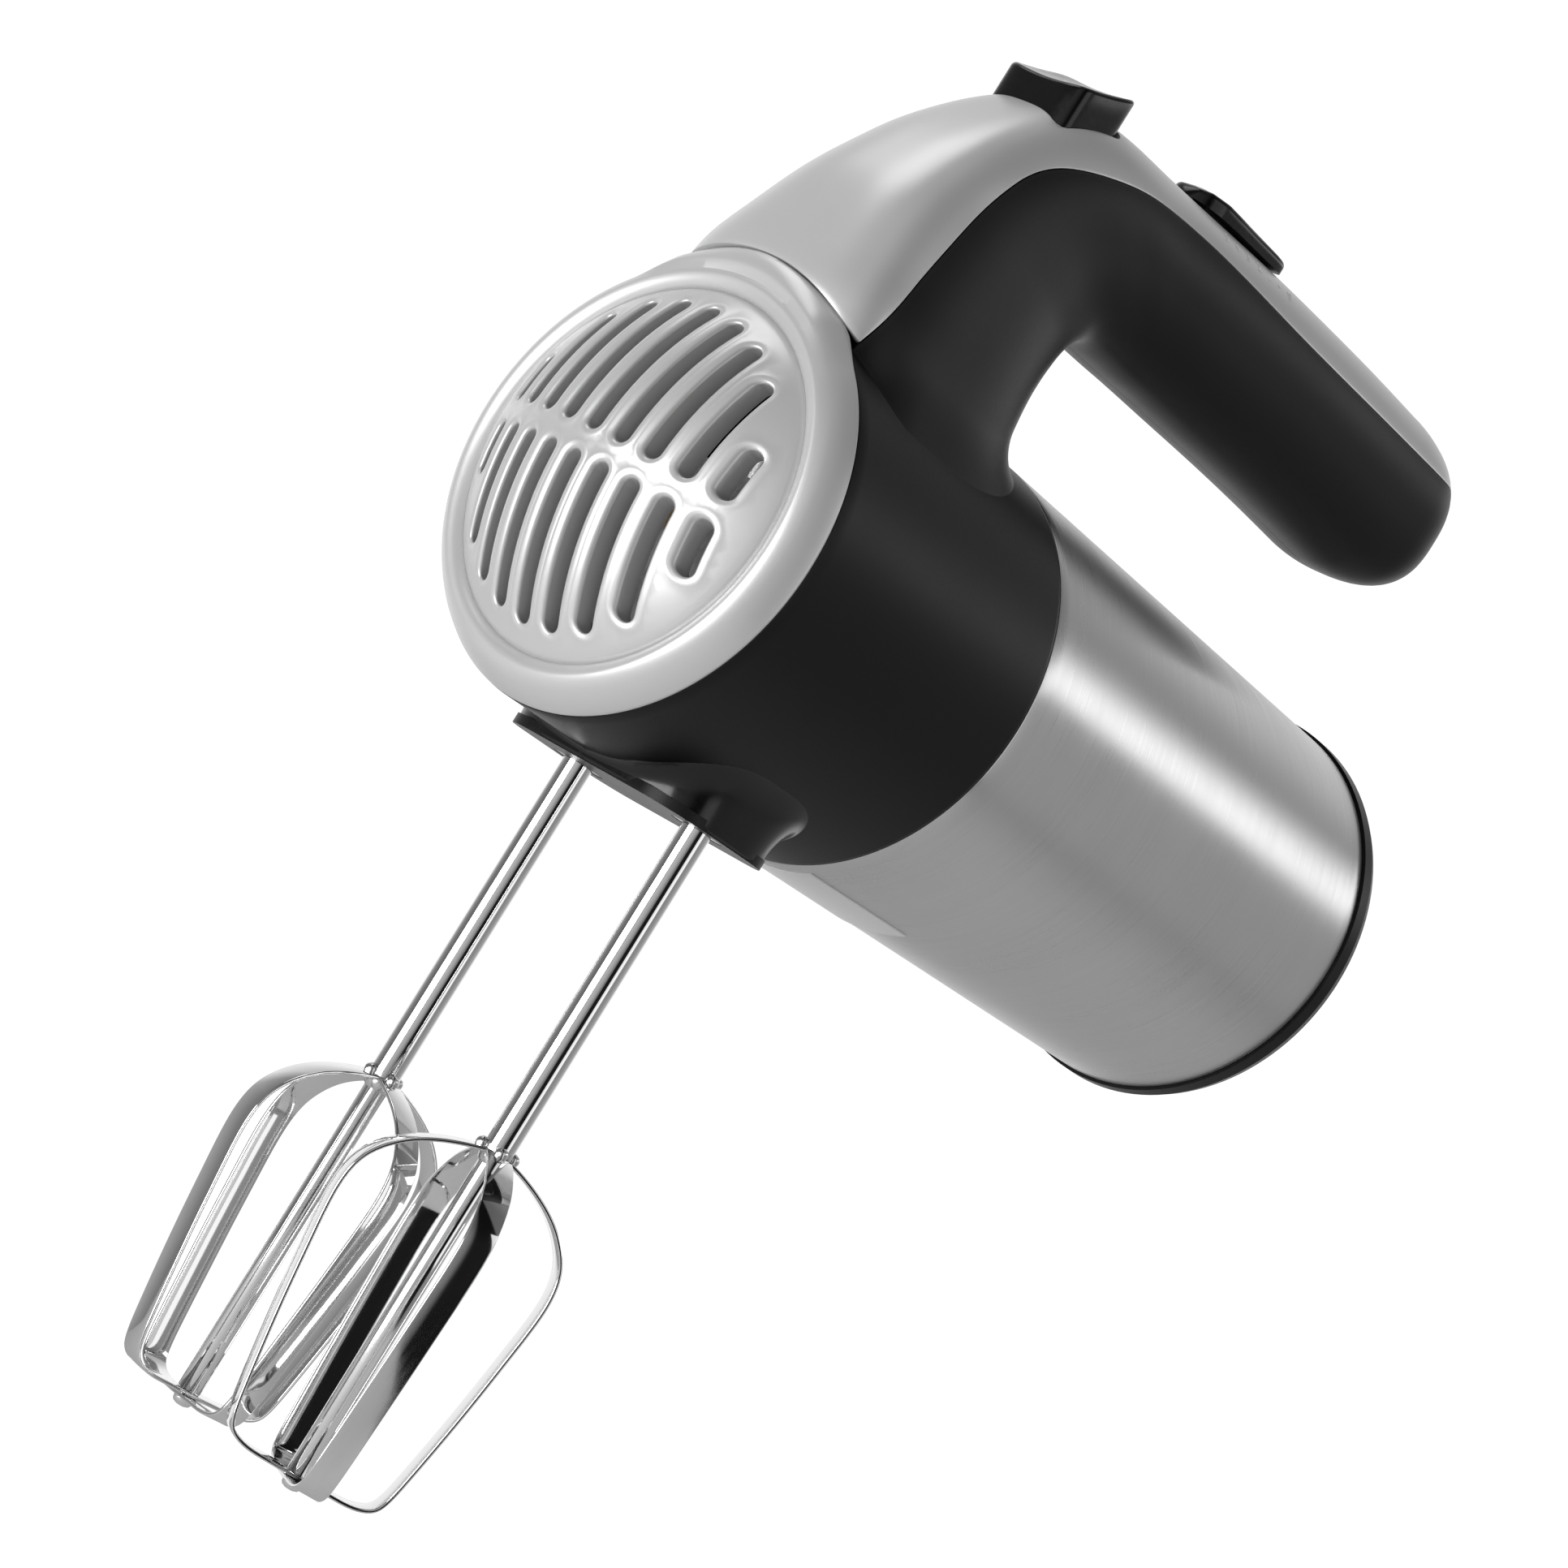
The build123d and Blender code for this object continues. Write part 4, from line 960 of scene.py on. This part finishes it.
    def build(self, shelf: Shelf) -> None:
        """Make the plate and the ring and hang them on the housing."""
        finish_piece(self.plate(), "housing", shelf["satin_silver"],
                     ("nose_grille",))
        finish_piece(self.ring(), "housing", shelf["satin_silver"],
                     ("nose_grille",))


# ---------------------------------------------------------------- barrel
@dataclass
class Barrel:
    """Black front of the barrel, beater outlet and steel sleeve."""

    front_y: float = -208.3
    seam_y: float = -135.5
    front_r: float = 47.0
    seam_r: float = 46.4
    tail_y: float = -6.5
    tail_r: float = 44.1
    wall: float = 2.0
    steps: int = 256
    outlet_half: Pair = (28.0, 18.0)
    outlet_corner: float = 3.6
    outlet_y: float = -167.5
    outlet_z: float = -48.9
    outlet_fillet: float = 4.5

    def front(self) -> bpy.types.Object:
        """Make the black front of the barrel, with its parting line.

        Returns:
            A closed ring-shaped mesh.
        """
        r0, r1, w = self.front_r, self.seam_r, self.wall
        line = [(r0 - 0.35, self.front_y), (r0 - 0.1, self.front_y + 0.1), (r0, self.front_y + 0.4)]
        line += [(r0 + (r1 - r0) * t, self.front_y + (self.seam_y - self.front_y) * t)
                 for t in np.linspace(0.05, 0.985, 24)]
        line += [(r1, self.seam_y - 0.5), (r1 - 0.12, self.seam_y - 0.2),
                 (r1 - 0.4, self.seam_y - 0.12), (r1 - w, self.seam_y - 0.12),
                 (r0 - w, self.front_y), (r0 - 0.35, self.front_y)]
        slit = math.radians(0.28)
        turns = np.linspace(0, 2 * math.pi, self.steps + 1)
        turns = np.sort(np.concatenate((turns, [math.pi - slit, math.pi + slit])))
        rows = []
        for a in turns:
            sunk = 0.25 if abs(a - math.pi) < 1e-9 else 0.0
            rows.append([((r - sunk) * math.sin(a), y, (r - sunk) * math.cos(a)) for r, y in line])
        return tidy_mesh(wrapped("barrel_front", np.array(rows)), 40)

    def radius_at(self, y: float) -> float:
        """Radius of the black barrel at y."""
        share = (y - self.front_y) / (self.seam_y - self.front_y)
        return self.front_r + (self.seam_r - self.front_r) * share

    def outlet(self) -> bpy.types.Object:
        """Make the block that the beaters come out of, flared onto the barrel.

        Returns:
            A closed mesh.
        """
        ax, ay = self.outlet_half
        count = 160
        dense = []
        for a in np.linspace(math.pi / 2, math.pi / 2 + 2 * math.pi, 1200):
            c, s = math.cos(a), math.sin(a)
            n = self.outlet_corner
            dense.append((ax * math.copysign(abs(c) ** (2 / n), c),
                          ay * math.copysign(abs(s) ** (2 / n), s)))
        plan = respaced(np.array(dense), np.linspace(0, 1, count + 1))
        along = np.gradient(plan, axis=0)
        along[0] = along[-1] = (plan[1] - plan[-2])
        along /= np.linalg.norm(along, axis=1)[:, None]
        out = np.column_stack((along[:, 1], -along[:, 0]))
        rows = []
        lift = list(np.linspace(0, 1, 22))
        for (x, y), (nx, ny) in zip(plan, out):
            ridge = y + self.outlet_y
            groove = 0.3 if abs(x) < 0.25 and y < 0 else 0.0
            column = [(0.0, 0.0, self.outlet_z)]
            for inset, up in ((0.9, 0.0), (0.45, 0.1), (0.13, 0.35), (0.0, 0.8)):
                column.append((x - nx * (inset + groove), y - ny * (inset + groove),
                               self.outlet_z + up))
            base = self.outlet_z + 0.8
            shell = self.radius_at(ridge)
            roof = -math.sqrt(max(1.0, shell**2 - min(abs(x) + 1.5, shell - 1) ** 2))
            reach = max(2.5, min(self.outlet_fillet, (roof - base) * 1.15))
            for t in lift[1:]:
                turn = t * math.pi / 2
                px = x + nx * (reach * (1 - math.cos(turn)) - groove * (1 - t))
                py = y + ny * (reach * (1 - math.cos(turn)) - groove * (1 - t))
                floor_z = -math.sqrt(max(1.0, self.radius_at(py + self.outlet_y) ** 2 - px**2))
                z = base + (floor_z + 0.25 - base) * math.sin(turn) ** 0.9
                column.append((px, py, z))
            px, py, z = column[-1]
            column.append((px * 0.97, py * 0.97, z + 1.5))
            column.append((0.0, 0.0, -36.0))
            rows.append([(cx, cy + self.outlet_y, cz) for cx, cy, cz in column])
        return tidy_mesh(wrapped("outlet_block", np.array(rows)), 45)

    def sleeve(self) -> bpy.types.Object:
        """Make the steel sleeve with turned-in edges.

        Returns:
            A closed ring-shaped mesh.
        """
        r0, r1 = self.seam_r, self.tail_r
        y0, y1 = self.seam_y, self.tail_y
        outside = [(r0 + (r1 - r0) * t, y0 + (y1 - y0) * t) for t in np.linspace(0.004, 0.996, 40)]
        line = [(r0 - 0.7, y0), (r0 - 0.12, y0 + 0.05)] + outside
        line += [(r1 - 0.12, y1 - 0.05), (r1 - 0.7, y1)]
        return spun("sleeve", line, self.steps)

    def build(self, shelf: Shelf) -> None:
        """Make all the barrel's pieces and hang them on the housing."""
        finish_piece(self.front(), "housing", shelf["matte_black"],
                     ("housing_left", "housing_right"))
        finish_piece(self.outlet(), "housing", shelf["gloss_black"],
                     ("housing_left", "housing_right"))
        finish_piece(self.sleeve(), "housing", shelf["brushed_steel"],
                     ("steel_sleeve",))


# ---------------------------------------------------------------- controls
@dataclass
class Controls:
    """Eject button, speed slider and the marks beside them."""

    button_half: float = 10.9
    button_y: Pair = (-177.0, -159.9)
    button_foot: float = 101.0
    front_top: float = 111.3
    rear_top: float = 117.3
    edge: float = 1.1
    slider_y: Pair = (-126.0, -93.6)
    slider_half: float = 7.3
    slider_foot: float = 112.85
    marks: str = "54321.0"
    mark_y: Pair = (-119.6, -93.8)
    mark_size: float = 3.4

    @staticmethod
    def cap(name: str, plan: np.ndarray, foot: float, top: Callable[[float, float], float],
            edge: float) -> bpy.types.Object:
        """Upright cap with a shaped, rounded top.

        Args:
            name: the piece's name.
            plan: closed outline as (x, y), the first point repeated last.
            foot: height of the underside.
            top: height of the top face at x, y.
            edge: radius of the rounding round the top.

        Returns:
            A closed mesh.
        """
        centre = plan[:-1].mean(axis=0)
        away = plan - centre
        size = np.linalg.norm(away, axis=1)[:, None]
        rows = [np.column_stack((np.tile(centre, (len(plan), 1)), np.full(len(plan), foot)))]
        rows.append(np.column_stack((plan, np.full(len(plan), foot))))
        for share in (0.35, 0.7):
            high = np.array([top(x, y) - edge for x, y in plan])
            rows.append(np.column_stack((plan, foot + (high - foot) * share)))
        for turn in np.linspace(0, math.pi / 2, 6):
            line = plan - away / size * edge * (1 - math.cos(turn))
            high = [top(x, y) - edge * (1 - math.sin(turn)) for x, y in line]
            rows.append(np.column_stack((line, high)))
        rim = plan - away / size * edge
        for share in (0.85, 0.7, 0.55, 0.4, 0.25, 0.12, 0.0):
            line = centre + (rim - centre) * share
            rows.append(np.column_stack((line, [top(x, y) for x, y in line])))
        return tidy_mesh(wrapped(name, np.array(rows)), 55)

    def button_top(self, x: float, y: float) -> float:
        """Height of the eject button's hollowed top."""
        share = (y - self.button_y[0]) / (self.button_y[1] - self.button_y[0])
        hollow = 0.9 * (1 - (x / self.button_half) ** 2)
        return self.front_top + (self.rear_top - self.front_top) * share**1.25 - hollow

    def button(self) -> bpy.types.Object:
        """Make the eject button."""
        y0, y1 = self.button_y
        middle, deep = (y0 + y1) / 2, (y1 - y0) / 2
        dense = []
        for a in np.linspace(0, 2 * math.pi, 800):
            c, s = math.cos(a), math.sin(a)
            dense.append((self.button_half * math.copysign(abs(c) ** 0.36, c),
                          middle + deep * math.copysign(abs(s) ** 0.36, s)))
        plan = respaced(np.array(dense), np.linspace(0, 1, 97))
        return self.cap("eject_button_cap", plan, self.button_foot, self.button_top, self.edge)

    def slider_top(self, x: float, y: float) -> float:
        """Height of the speed slider's top."""
        line = ((-126.0, 113.2), (-124.6, 115.2), (-122.0, 116.2), (-117.5, 116.6),
                (-109.0, 116.4), (-98.0, 116.1), (-93.6, 115.9))
        high = float(np.interp(y, [p[0] for p in line], [p[1] for p in line]))
        return high - 0.7 * (x / self.slider_half) ** 2

    def slider(self) -> bpy.types.Object:
        """Make the speed slider with its pointed front."""
        y0, y1 = self.slider_y
        half = self.slider_half
        right = [(0.0, y0), (2.6, y0 + 0.9), (5.0, y0 + 3.2), (6.7, y0 + 7.2), (half, y0 + 13.0),
                 (half, y0 + 22.0), (half, y1 - 3.0), (half - 0.4, y1 - 0.6), (half - 1.4, y1),
                 (0.0, y1)]
        left = [(-x, y) for x, y in right[-2:0:-1]]
        dense = np.array(right + left + right[:1], float)
        plan = respaced(dense, np.linspace(0, 1, 121))
        soft = plan[:-1]
        for _ in range(2):
            soft = (np.roll(soft, 1, 0) + 2 * soft + np.roll(soft, -1, 0)) / 4
        plan = np.vstack((soft, soft[:1]))
        return self.cap("speed_slider_cap", plan, self.slider_foot, self.slider_top, self.edge)

    def mark(self, text: str, centre: Vector, cover: bpy.types.Object) -> bpy.types.Object:
        """One printed mark laid on the cover.

        Args:
            text: the mark.
            centre: its middle, in millimetres.
            cover: the cover's mesh.

        Returns:
            The mark as a thin closed mesh.
        """
        deselect()
        bpy.ops.object.text_add()
        letter = bpy.context.object
        letter.data.body = text
        letter.data.size = self.mark_size * MM
        letter.data.align_x = "CENTER"
        letter.data.align_y = "CENTER"
        letter.data.resolution_u = 3
        slope = Vector((0.62, 0.0, 0.785))
        frame_axes = Matrix((Vector((0, 1, 0)), slope.cross(Vector((0, 1, 0))), slope)).transposed()
        bpy.ops.object.convert(target="MESH")
        letter = bpy.context.object
        letter.data.transform(Matrix.Translation(centre * MM) @ frame_axes.to_4x4())
        letter.matrix_world = Matrix.Identity(4)
        apply(letter, "SHRINKWRAP", target=cover, wrap_method="NEAREST_SURFACEPOINT",
              wrap_mode="ABOVE_SURFACE", offset=0.00006)
        apply(letter, "SOLIDIFY", thickness=0.00005, offset=0.0)
        return letter

    def build(self, shelf: Shelf, cover: bpy.types.Object) -> None:
        """Make the controls and their marks.

        Args:
            shelf: the finishes.
            cover: the cover that the marks are printed on.
        """
        finish_piece(self.button(), "ejector", shelf["gloss_black"],
                     ("eject_button",))
        slider = self.slider()
        stem = bevelled_box("slider_stem", (-2.6, -119.0, 107.0), (2.6, -107.0, 114.5), 0.5)
        whole = joined((slider, stem), "speed_slider_cap")
        finish_piece(whole, "speed_slider", shelf["gloss_black"],
                     ("speed_slider",))
        letters = []
        for k, text in enumerate(self.marks):
            y = self.mark_y[0] + (self.mark_y[1] - self.mark_y[0]) * k / (len(self.marks) - 1)
            shown = "•" if text == "." else text
            letters.append(self.mark(shown, Vector((12.4, y, 110.2)), cover))
        finish_piece(tidy_mesh(joined(letters, "speed_marks")), "housing",
                     shelf["white_ink"])
        sign = [self.mark("=", Vector((3.4, -146.5, 113.6)), cover)]
        finish_piece(tidy_mesh(joined(sign, "eject_mark")), "housing",
                     shelf["white_ink"])


# ---------------------------------------------------------------- beaters
@dataclass
class Beater:
    """One beater: tube with its drive ears, stem, crossed strips, welds and rivet."""

    hand: str
    x: float
    turn: float
    y: float = -167.0
    top: float = 8.0
    weld: float = -121.0
    tip: float = -193.0
    tube_r: float = 3.2
    stem_r: float = 2.45
    blade_r: float = 23.8
    strip_w: float = 6.0
    strip_t: float = 0.8
    clip_z: float = -11.0
    ear_z: Pair = (-30.0, -25.0)

    def outline(self, drop: float) -> np.ndarray:
        """Middle line of a strip loop as (radius, z), once round from the top."""
        r, top, bottom = self.blade_r, self.weld + 0.6, self.tip + drop
        half = [(0.0, top), (4.5, top - 0.7), (8.0, top - 1.8), (12.5, top - 3.7),
                (16.5, top - 6.1), (20.0, top - 9.3), (22.6, top - 13.2), (r, top - 18.2),
                (r - 0.1, top - 24.6), (r - 0.9, top - 31.8), (r - 1.9, top - 40.0),
                (r - 3.6, top - 52.0), (r - 5.2, bottom + 10.0), (r - 6.2, bottom + 5.2),
                (r - 7.6, bottom + 2.2), (r - 11.0, bottom + 0.5), (r - 17.0, bottom + 0.1),
                (0.0, bottom)]
        lap = half + [(-a, z) for a, z in half[-2:0:-1]]
        return around(lap, 220)

    def strip(self, name: str, turn: float, drop: float) -> bpy.types.Object:
        """One closed strip loop in the upright plane at an angle.

        Args:
            name: the piece's name.
            turn: angle of the plane about the beater's axis, in degrees.
            drop: how far the loop's bottom sits above the tip.

        Returns:
            A closed mesh.
        """
        line = self.outline(drop)
        ahead = np.roll(line, -1, 0) - np.roll(line, 1, 0)
        ahead /= np.linalg.norm(ahead, axis=1)[:, None]
        inward = np.column_stack((ahead[:, 1], -ahead[:, 0]))
        half_w, half_t = self.strip_w / 2, self.strip_t / 2
        edge = 0.28
        ring = []
        for cw, ct, first in ((half_w - edge, half_t - edge, 0),
                              (-half_w + edge, half_t - edge, 90),
                              (-half_w + edge, -half_t + edge, 180),
                              (half_w - edge, -half_t + edge, 270)):
            for k in range(4):
                a = math.radians(first + 30 * k)
                ring.append((cw + edge * math.cos(a), ct + edge * math.sin(a)))
        ring.append(ring[0])
        a = math.radians(turn)
        rows = []
        for k in list(range(len(line))) + [0]:
            (r, z), (ir, iz) = line[k], inward[k]
            row = []
            for w, t in ring:
                rr, zz = r + ir * (half_t + t), z + iz * (half_t + t)
                row.append((self.x + rr * math.cos(a) - w * math.sin(a),
                            self.y + rr * math.sin(a) + w * math.cos(a), zz))
            rows.append(row)
        return tidy_mesh(wrapped(name, np.array(rows)), 50)

    def tube(self) -> bpy.types.Object:
        """Make the tube with its waist, and the two drive ears."""
        r, c = self.tube_r, self.clip_z
        line = [(0.0, self.weld - 0.4), (r - 0.7, self.weld - 0.4), (r - 0.15, self.weld),
                (r, self.weld + 0.6), (r, c - 1.2), (r - 0.5, c - 0.8), (r - 0.5, c + 0.8),
                (r, c + 1.2), (r, self.top - 0.9), (r - 0.25, self.top - 0.4),
                (r - 0.8, self.top), (0.0, self.top)]
        tube = spun(f"{self.hand}_tube", line, 64, "Z", self.x, self.y)
        ears = bevelled_box(f"{self.hand}_ears", (self.x - 4.55, self.y - 0.78, self.ear_z[0]),
                            (self.x + 4.55, self.y + 0.78, self.ear_z[1]), 0.25)
        return joined((tube, ears), f"{self.hand}_tube")

    def stem(self) -> bpy.types.Object:
        """Make the thinner stem inside the strips."""
        low, high, r = self.tip + 1.7, self.weld + 0.4, self.stem_r
        line = [(0.0, low), (r - 0.2, low), (r, low + 0.3), (r, high), (0.0, high)]
        return spun(f"{self.hand}_rod", line, 48, "Z", self.x, self.y)

    def blob(self, name: str, centre: Sequence[float], size: Sequence[float]) -> bpy.types.Object:
        """Small uneven bead of weld.

        Args:
            name: the piece's name.
            centre: its middle.
            size: half sizes along the axes.

        Returns:
            A closed mesh.
        """
        deselect()
        bpy.ops.mesh.primitive_ico_sphere_add(subdivisions=3, radius=1.0)
        piece = bpy.context.object
        piece.name = name
        places = np.array([v.co[:] for v in piece.data.vertices])
        wave = 1 + 0.07 * np.sin(5 * places[:, 0] + 3 * places[:, 2]) * np.cos(4 * places[:, 1])
        place_all(piece, np.array(centre) + places * wave[:, None] * np.array(size))
        return tidy_mesh(piece, 80)

    def welds(self) -> bpy.types.Object:
        """Beads round the end of the tube where the strips are welded."""
        beads = []
        for k in range(4):
            a = math.radians(self.turn + 90 * k)
            reach = self.tube_r + 0.25
            beads.append(self.blob(f"bead_{k}", (self.x + reach * math.cos(a),
                                                 self.y + reach * math.sin(a), self.weld + 0.5),
                                   (1.35, 1.35, 1.5)))
        collar = [(0.0, self.weld - 2.6), (2.3, self.weld - 2.6), (2.9, self.weld - 1.9),
                  (3.15, self.weld - 0.8), (3.3, self.weld + 0.5), (3.25, self.weld + 1.4),
                  (0.0, self.weld + 1.4)]
        beads.append(spun("weld_collar", collar, 40, "Z", self.x, self.y))
        return joined(beads, f"{self.hand}_weld")

    def rivet(self) -> bpy.types.Object:
        """Head of the rivet under the crossed strips."""
        z = self.tip
        line = [(0.0, z - 1.58), (1.0, z - 1.55), (1.7, z - 1.25), (2.05, z - 0.75),
                (2.2, z - 0.1), (2.2, z + 0.3), (0.0, z + 0.3)]
        return spun(f"{self.hand}_rivet_head", line, 40, "Z", self.x, self.y)

    def build(self, shelf: Shelf) -> None:
        """Make the beater and hang it on its body."""
        body, slot = f"{self.hand}_beater", "polished_steel"
        polished = shelf["polished_steel"]
        node = f"{self.hand}_beater_"
        finish_piece(self.tube(), body, polished, (node + "shaft",))
        finish_piece(self.stem(), body, polished, (node + "stem",))
        first = self.strip(f"{self.hand}_strip_a", self.turn, 0.0)
        second = self.strip(f"{self.hand}_strip_b", self.turn + 90, self.strip_t + 0.05)
        for loop in (first, second):
            finish_piece(loop, body, polished, (node + "blades",))
        finish_piece(self.welds(), body, shelf["weld_steel"], (node + "shaft",))
        finish_piece(self.rivet(), body, polished, (node + "rivet",))


# ---------------------------------------------------------------- studio
@dataclass
class Studio:
    """Camera, floor, backdrop light and soft boxes."""

    camera_at: tuple[float, float, float] = (0.6595, -0.8505, -0.0906)
    camera_turn: tuple[float, float, float] = (1.204, 0.913, -0.152)
    lens: float = 113.57
    floor_z: float = -0.6
    pale: float = 0.86
    room_strength: float = 1.05
    round_tones: tuple[Pair, ...] = (
        (0.0, 1.0), (0.10, 1.0), (0.15, 0.45), (0.22, 0.24), (0.33, 0.12), (0.41, 0.22),
        (0.46, 0.60), (0.52, 0.42), (0.56, 0.18), (0.572, 0.012), (0.652, 0.012), (0.664, 0.28),
        (0.76, 0.32), (0.86, 0.50), (0.90, 1.0), (1.0, 1.0))
    height_tones: tuple[Pair, ...] = (
        (0.0, 0.10), (0.28, 0.35), (0.38, 1.0), (0.70, 1.0), (0.86, 0.6), (1.0, 0.45))

    def camera(self) -> bpy.types.Object:
        """Make the scene's camera."""
        data = bpy.data.cameras.new("view")
        data.lens = self.lens
        data.sensor_width = 36.0
        data.clip_start, data.clip_end = 0.01, 30.0
        camera = bpy.data.objects.new("view", data)
        bpy.context.collection.objects.link(camera)
        turn = Vector(self.camera_turn)
        seen = Matrix.Rotation(turn.length, 3, turn.normalized())
        flip = Matrix(((1, 0, 0), (0, -1, 0), (0, 0, -1)))
        axes = (flip @ seen).transposed()
        camera.matrix_world = Matrix.Translation(self.camera_at) @ axes.to_4x4()
        bpy.context.scene.camera = camera
        return camera

    def floor(self) -> None:
        """Lay a wide pale floor."""
        deselect()
        bpy.ops.mesh.primitive_plane_add(size=2.4, location=(0, 0, self.floor_z))
        ground = bpy.context.object
        ground.name = "floor"
        material = bpy.data.materials.new("pale_floor")
        material.use_nodes = True
        shader = material.node_tree.nodes["Principled BSDF"]
        shader.inputs["Base Color"].default_value = (self.pale, self.pale, self.pale, 1)
        shader.inputs["Roughness"].default_value = 0.9
        ground.data.materials.append(material)

    def world(self, back: Vector) -> None:
        """Make the room: white behind the object, panels and dark flags round the camera.

        Args:
            back: from the object to the camera.
        """
        world = bpy.data.worlds.new("room")
        bpy.context.scene.world = world
        world.use_nodes = True
        tree = world.node_tree
        level = Vector((back.x, back.y, 0.0)).normalized()
        where = add_node(tree, "ShaderNodeTexCoord", {}).outputs["Generated"]
        parts = []
        for axis in (Vector((0, 0, 1)).cross(level), level, Vector((0, 0, 1))):
            part = add_node(tree, "ShaderNodeVectorMath", {}, operation="DOT_PRODUCT")
            part.inputs[1].default_value = axis
            tree.links.new(where, part.inputs[0])
            parts.append(part.outputs["Value"])
        turn = add_node(tree, "ShaderNodeMath", {}, operation="ARCTAN2")
        tree.links.new(parts[0], turn.inputs[0])
        tree.links.new(parts[1], turn.inputs[1])
        tones = []
        for source, reach, stops in ((turn.outputs["Value"], math.pi, self.round_tones),
                                     (parts[2], 1.0, self.height_tones)):
            share = add_node(tree, "ShaderNodeMapRange",
                             {"Value": source, "From Min": -reach, "From Max": reach})
            ramp = add_node(tree, "ShaderNodeValToRGB", {"Fac": share.outputs["Result"]})
            elements = ramp.color_ramp.elements
            while len(elements) < len(stops):
                elements.new(0.5)
            for element, (place, tone) in zip(elements, stops):
                element.position = place
                element.color = (tone, tone, tone, 1)
            tones.append(ramp.outputs["Color"])
        both = add_node(tree, "ShaderNodeMix", {"Factor": 1.0, "A": tones[0], "B": tones[1]},
                        data_type="RGBA", blend_type="MULTIPLY")
        fill_inputs(tree, tree.nodes["Background"],
                    {"Color": both.outputs["Result"], "Strength": self.room_strength})

    def softbox(self, name: str, at: Vector, to: Vector, size: Pair, power: float) -> None:
        """Hang one soft box.

        Args:
            name: its name.
            at: where it hangs.
            to: what it is turned to.
            size: width and height in metres.
            power: its power in watts.
        """
        data = bpy.data.lights.new(name, "AREA")
        data.shape = "RECTANGLE"
        data.size, data.size_y = size
        data.energy = power
        lamp = bpy.data.objects.new(name, data)
        bpy.context.collection.objects.link(lamp)
        lamp.location = at
        lamp.rotation_mode = "QUATERNION"
        lamp.rotation_quaternion = (to - at).to_track_quat("-Z", "Y")

    def build(self) -> None:
        """Set up everything round the object."""
        camera = self.camera()
        axes = camera.matrix_world.to_3x3()
        right, up, back = axes.col[0], axes.col[1], axes.col[2]
        target = Vector((0, -0.13, 0.0))
        self.floor()
        self.world(back)
        bpy.context.scene.view_settings.view_transform = "Standard"
        self.softbox("key", target + right * 1.0 + back * 0.6 - up * 0.3, target, (0.5, 1.4), 2.2)
        self.softbox("front", Vector((-0.1, -1.9, -0.3)), target, (1.3, 1.1), 34)
        self.softbox("top", target + Vector((-0.55, -0.35, 1.1)), target, (0.6, 0.6), 2.5)
        self.softbox("stripe", target + Vector((0.65, 1.2, 0.66)), target, (1.3, 0.26), 1.8)


def main() -> None:
    """Build every sub-assembly in order."""
    logging.basicConfig(level=logging.INFO, format="%(message)s")
    Studio().build()
    shelf = Shelf()
    shelf.dress_frame()
    cover = Handle().build(shelf)
    Nose().build(shelf)
    Barrel().build(shelf)
    Controls().build(shelf, cover)
    for hand, x, turn in (("left", -18.1, -10.0), ("right", 18.1, -32.0)):
        Beater(hand, x, turn).build(shelf)


if __name__ == "__main__":
    main()
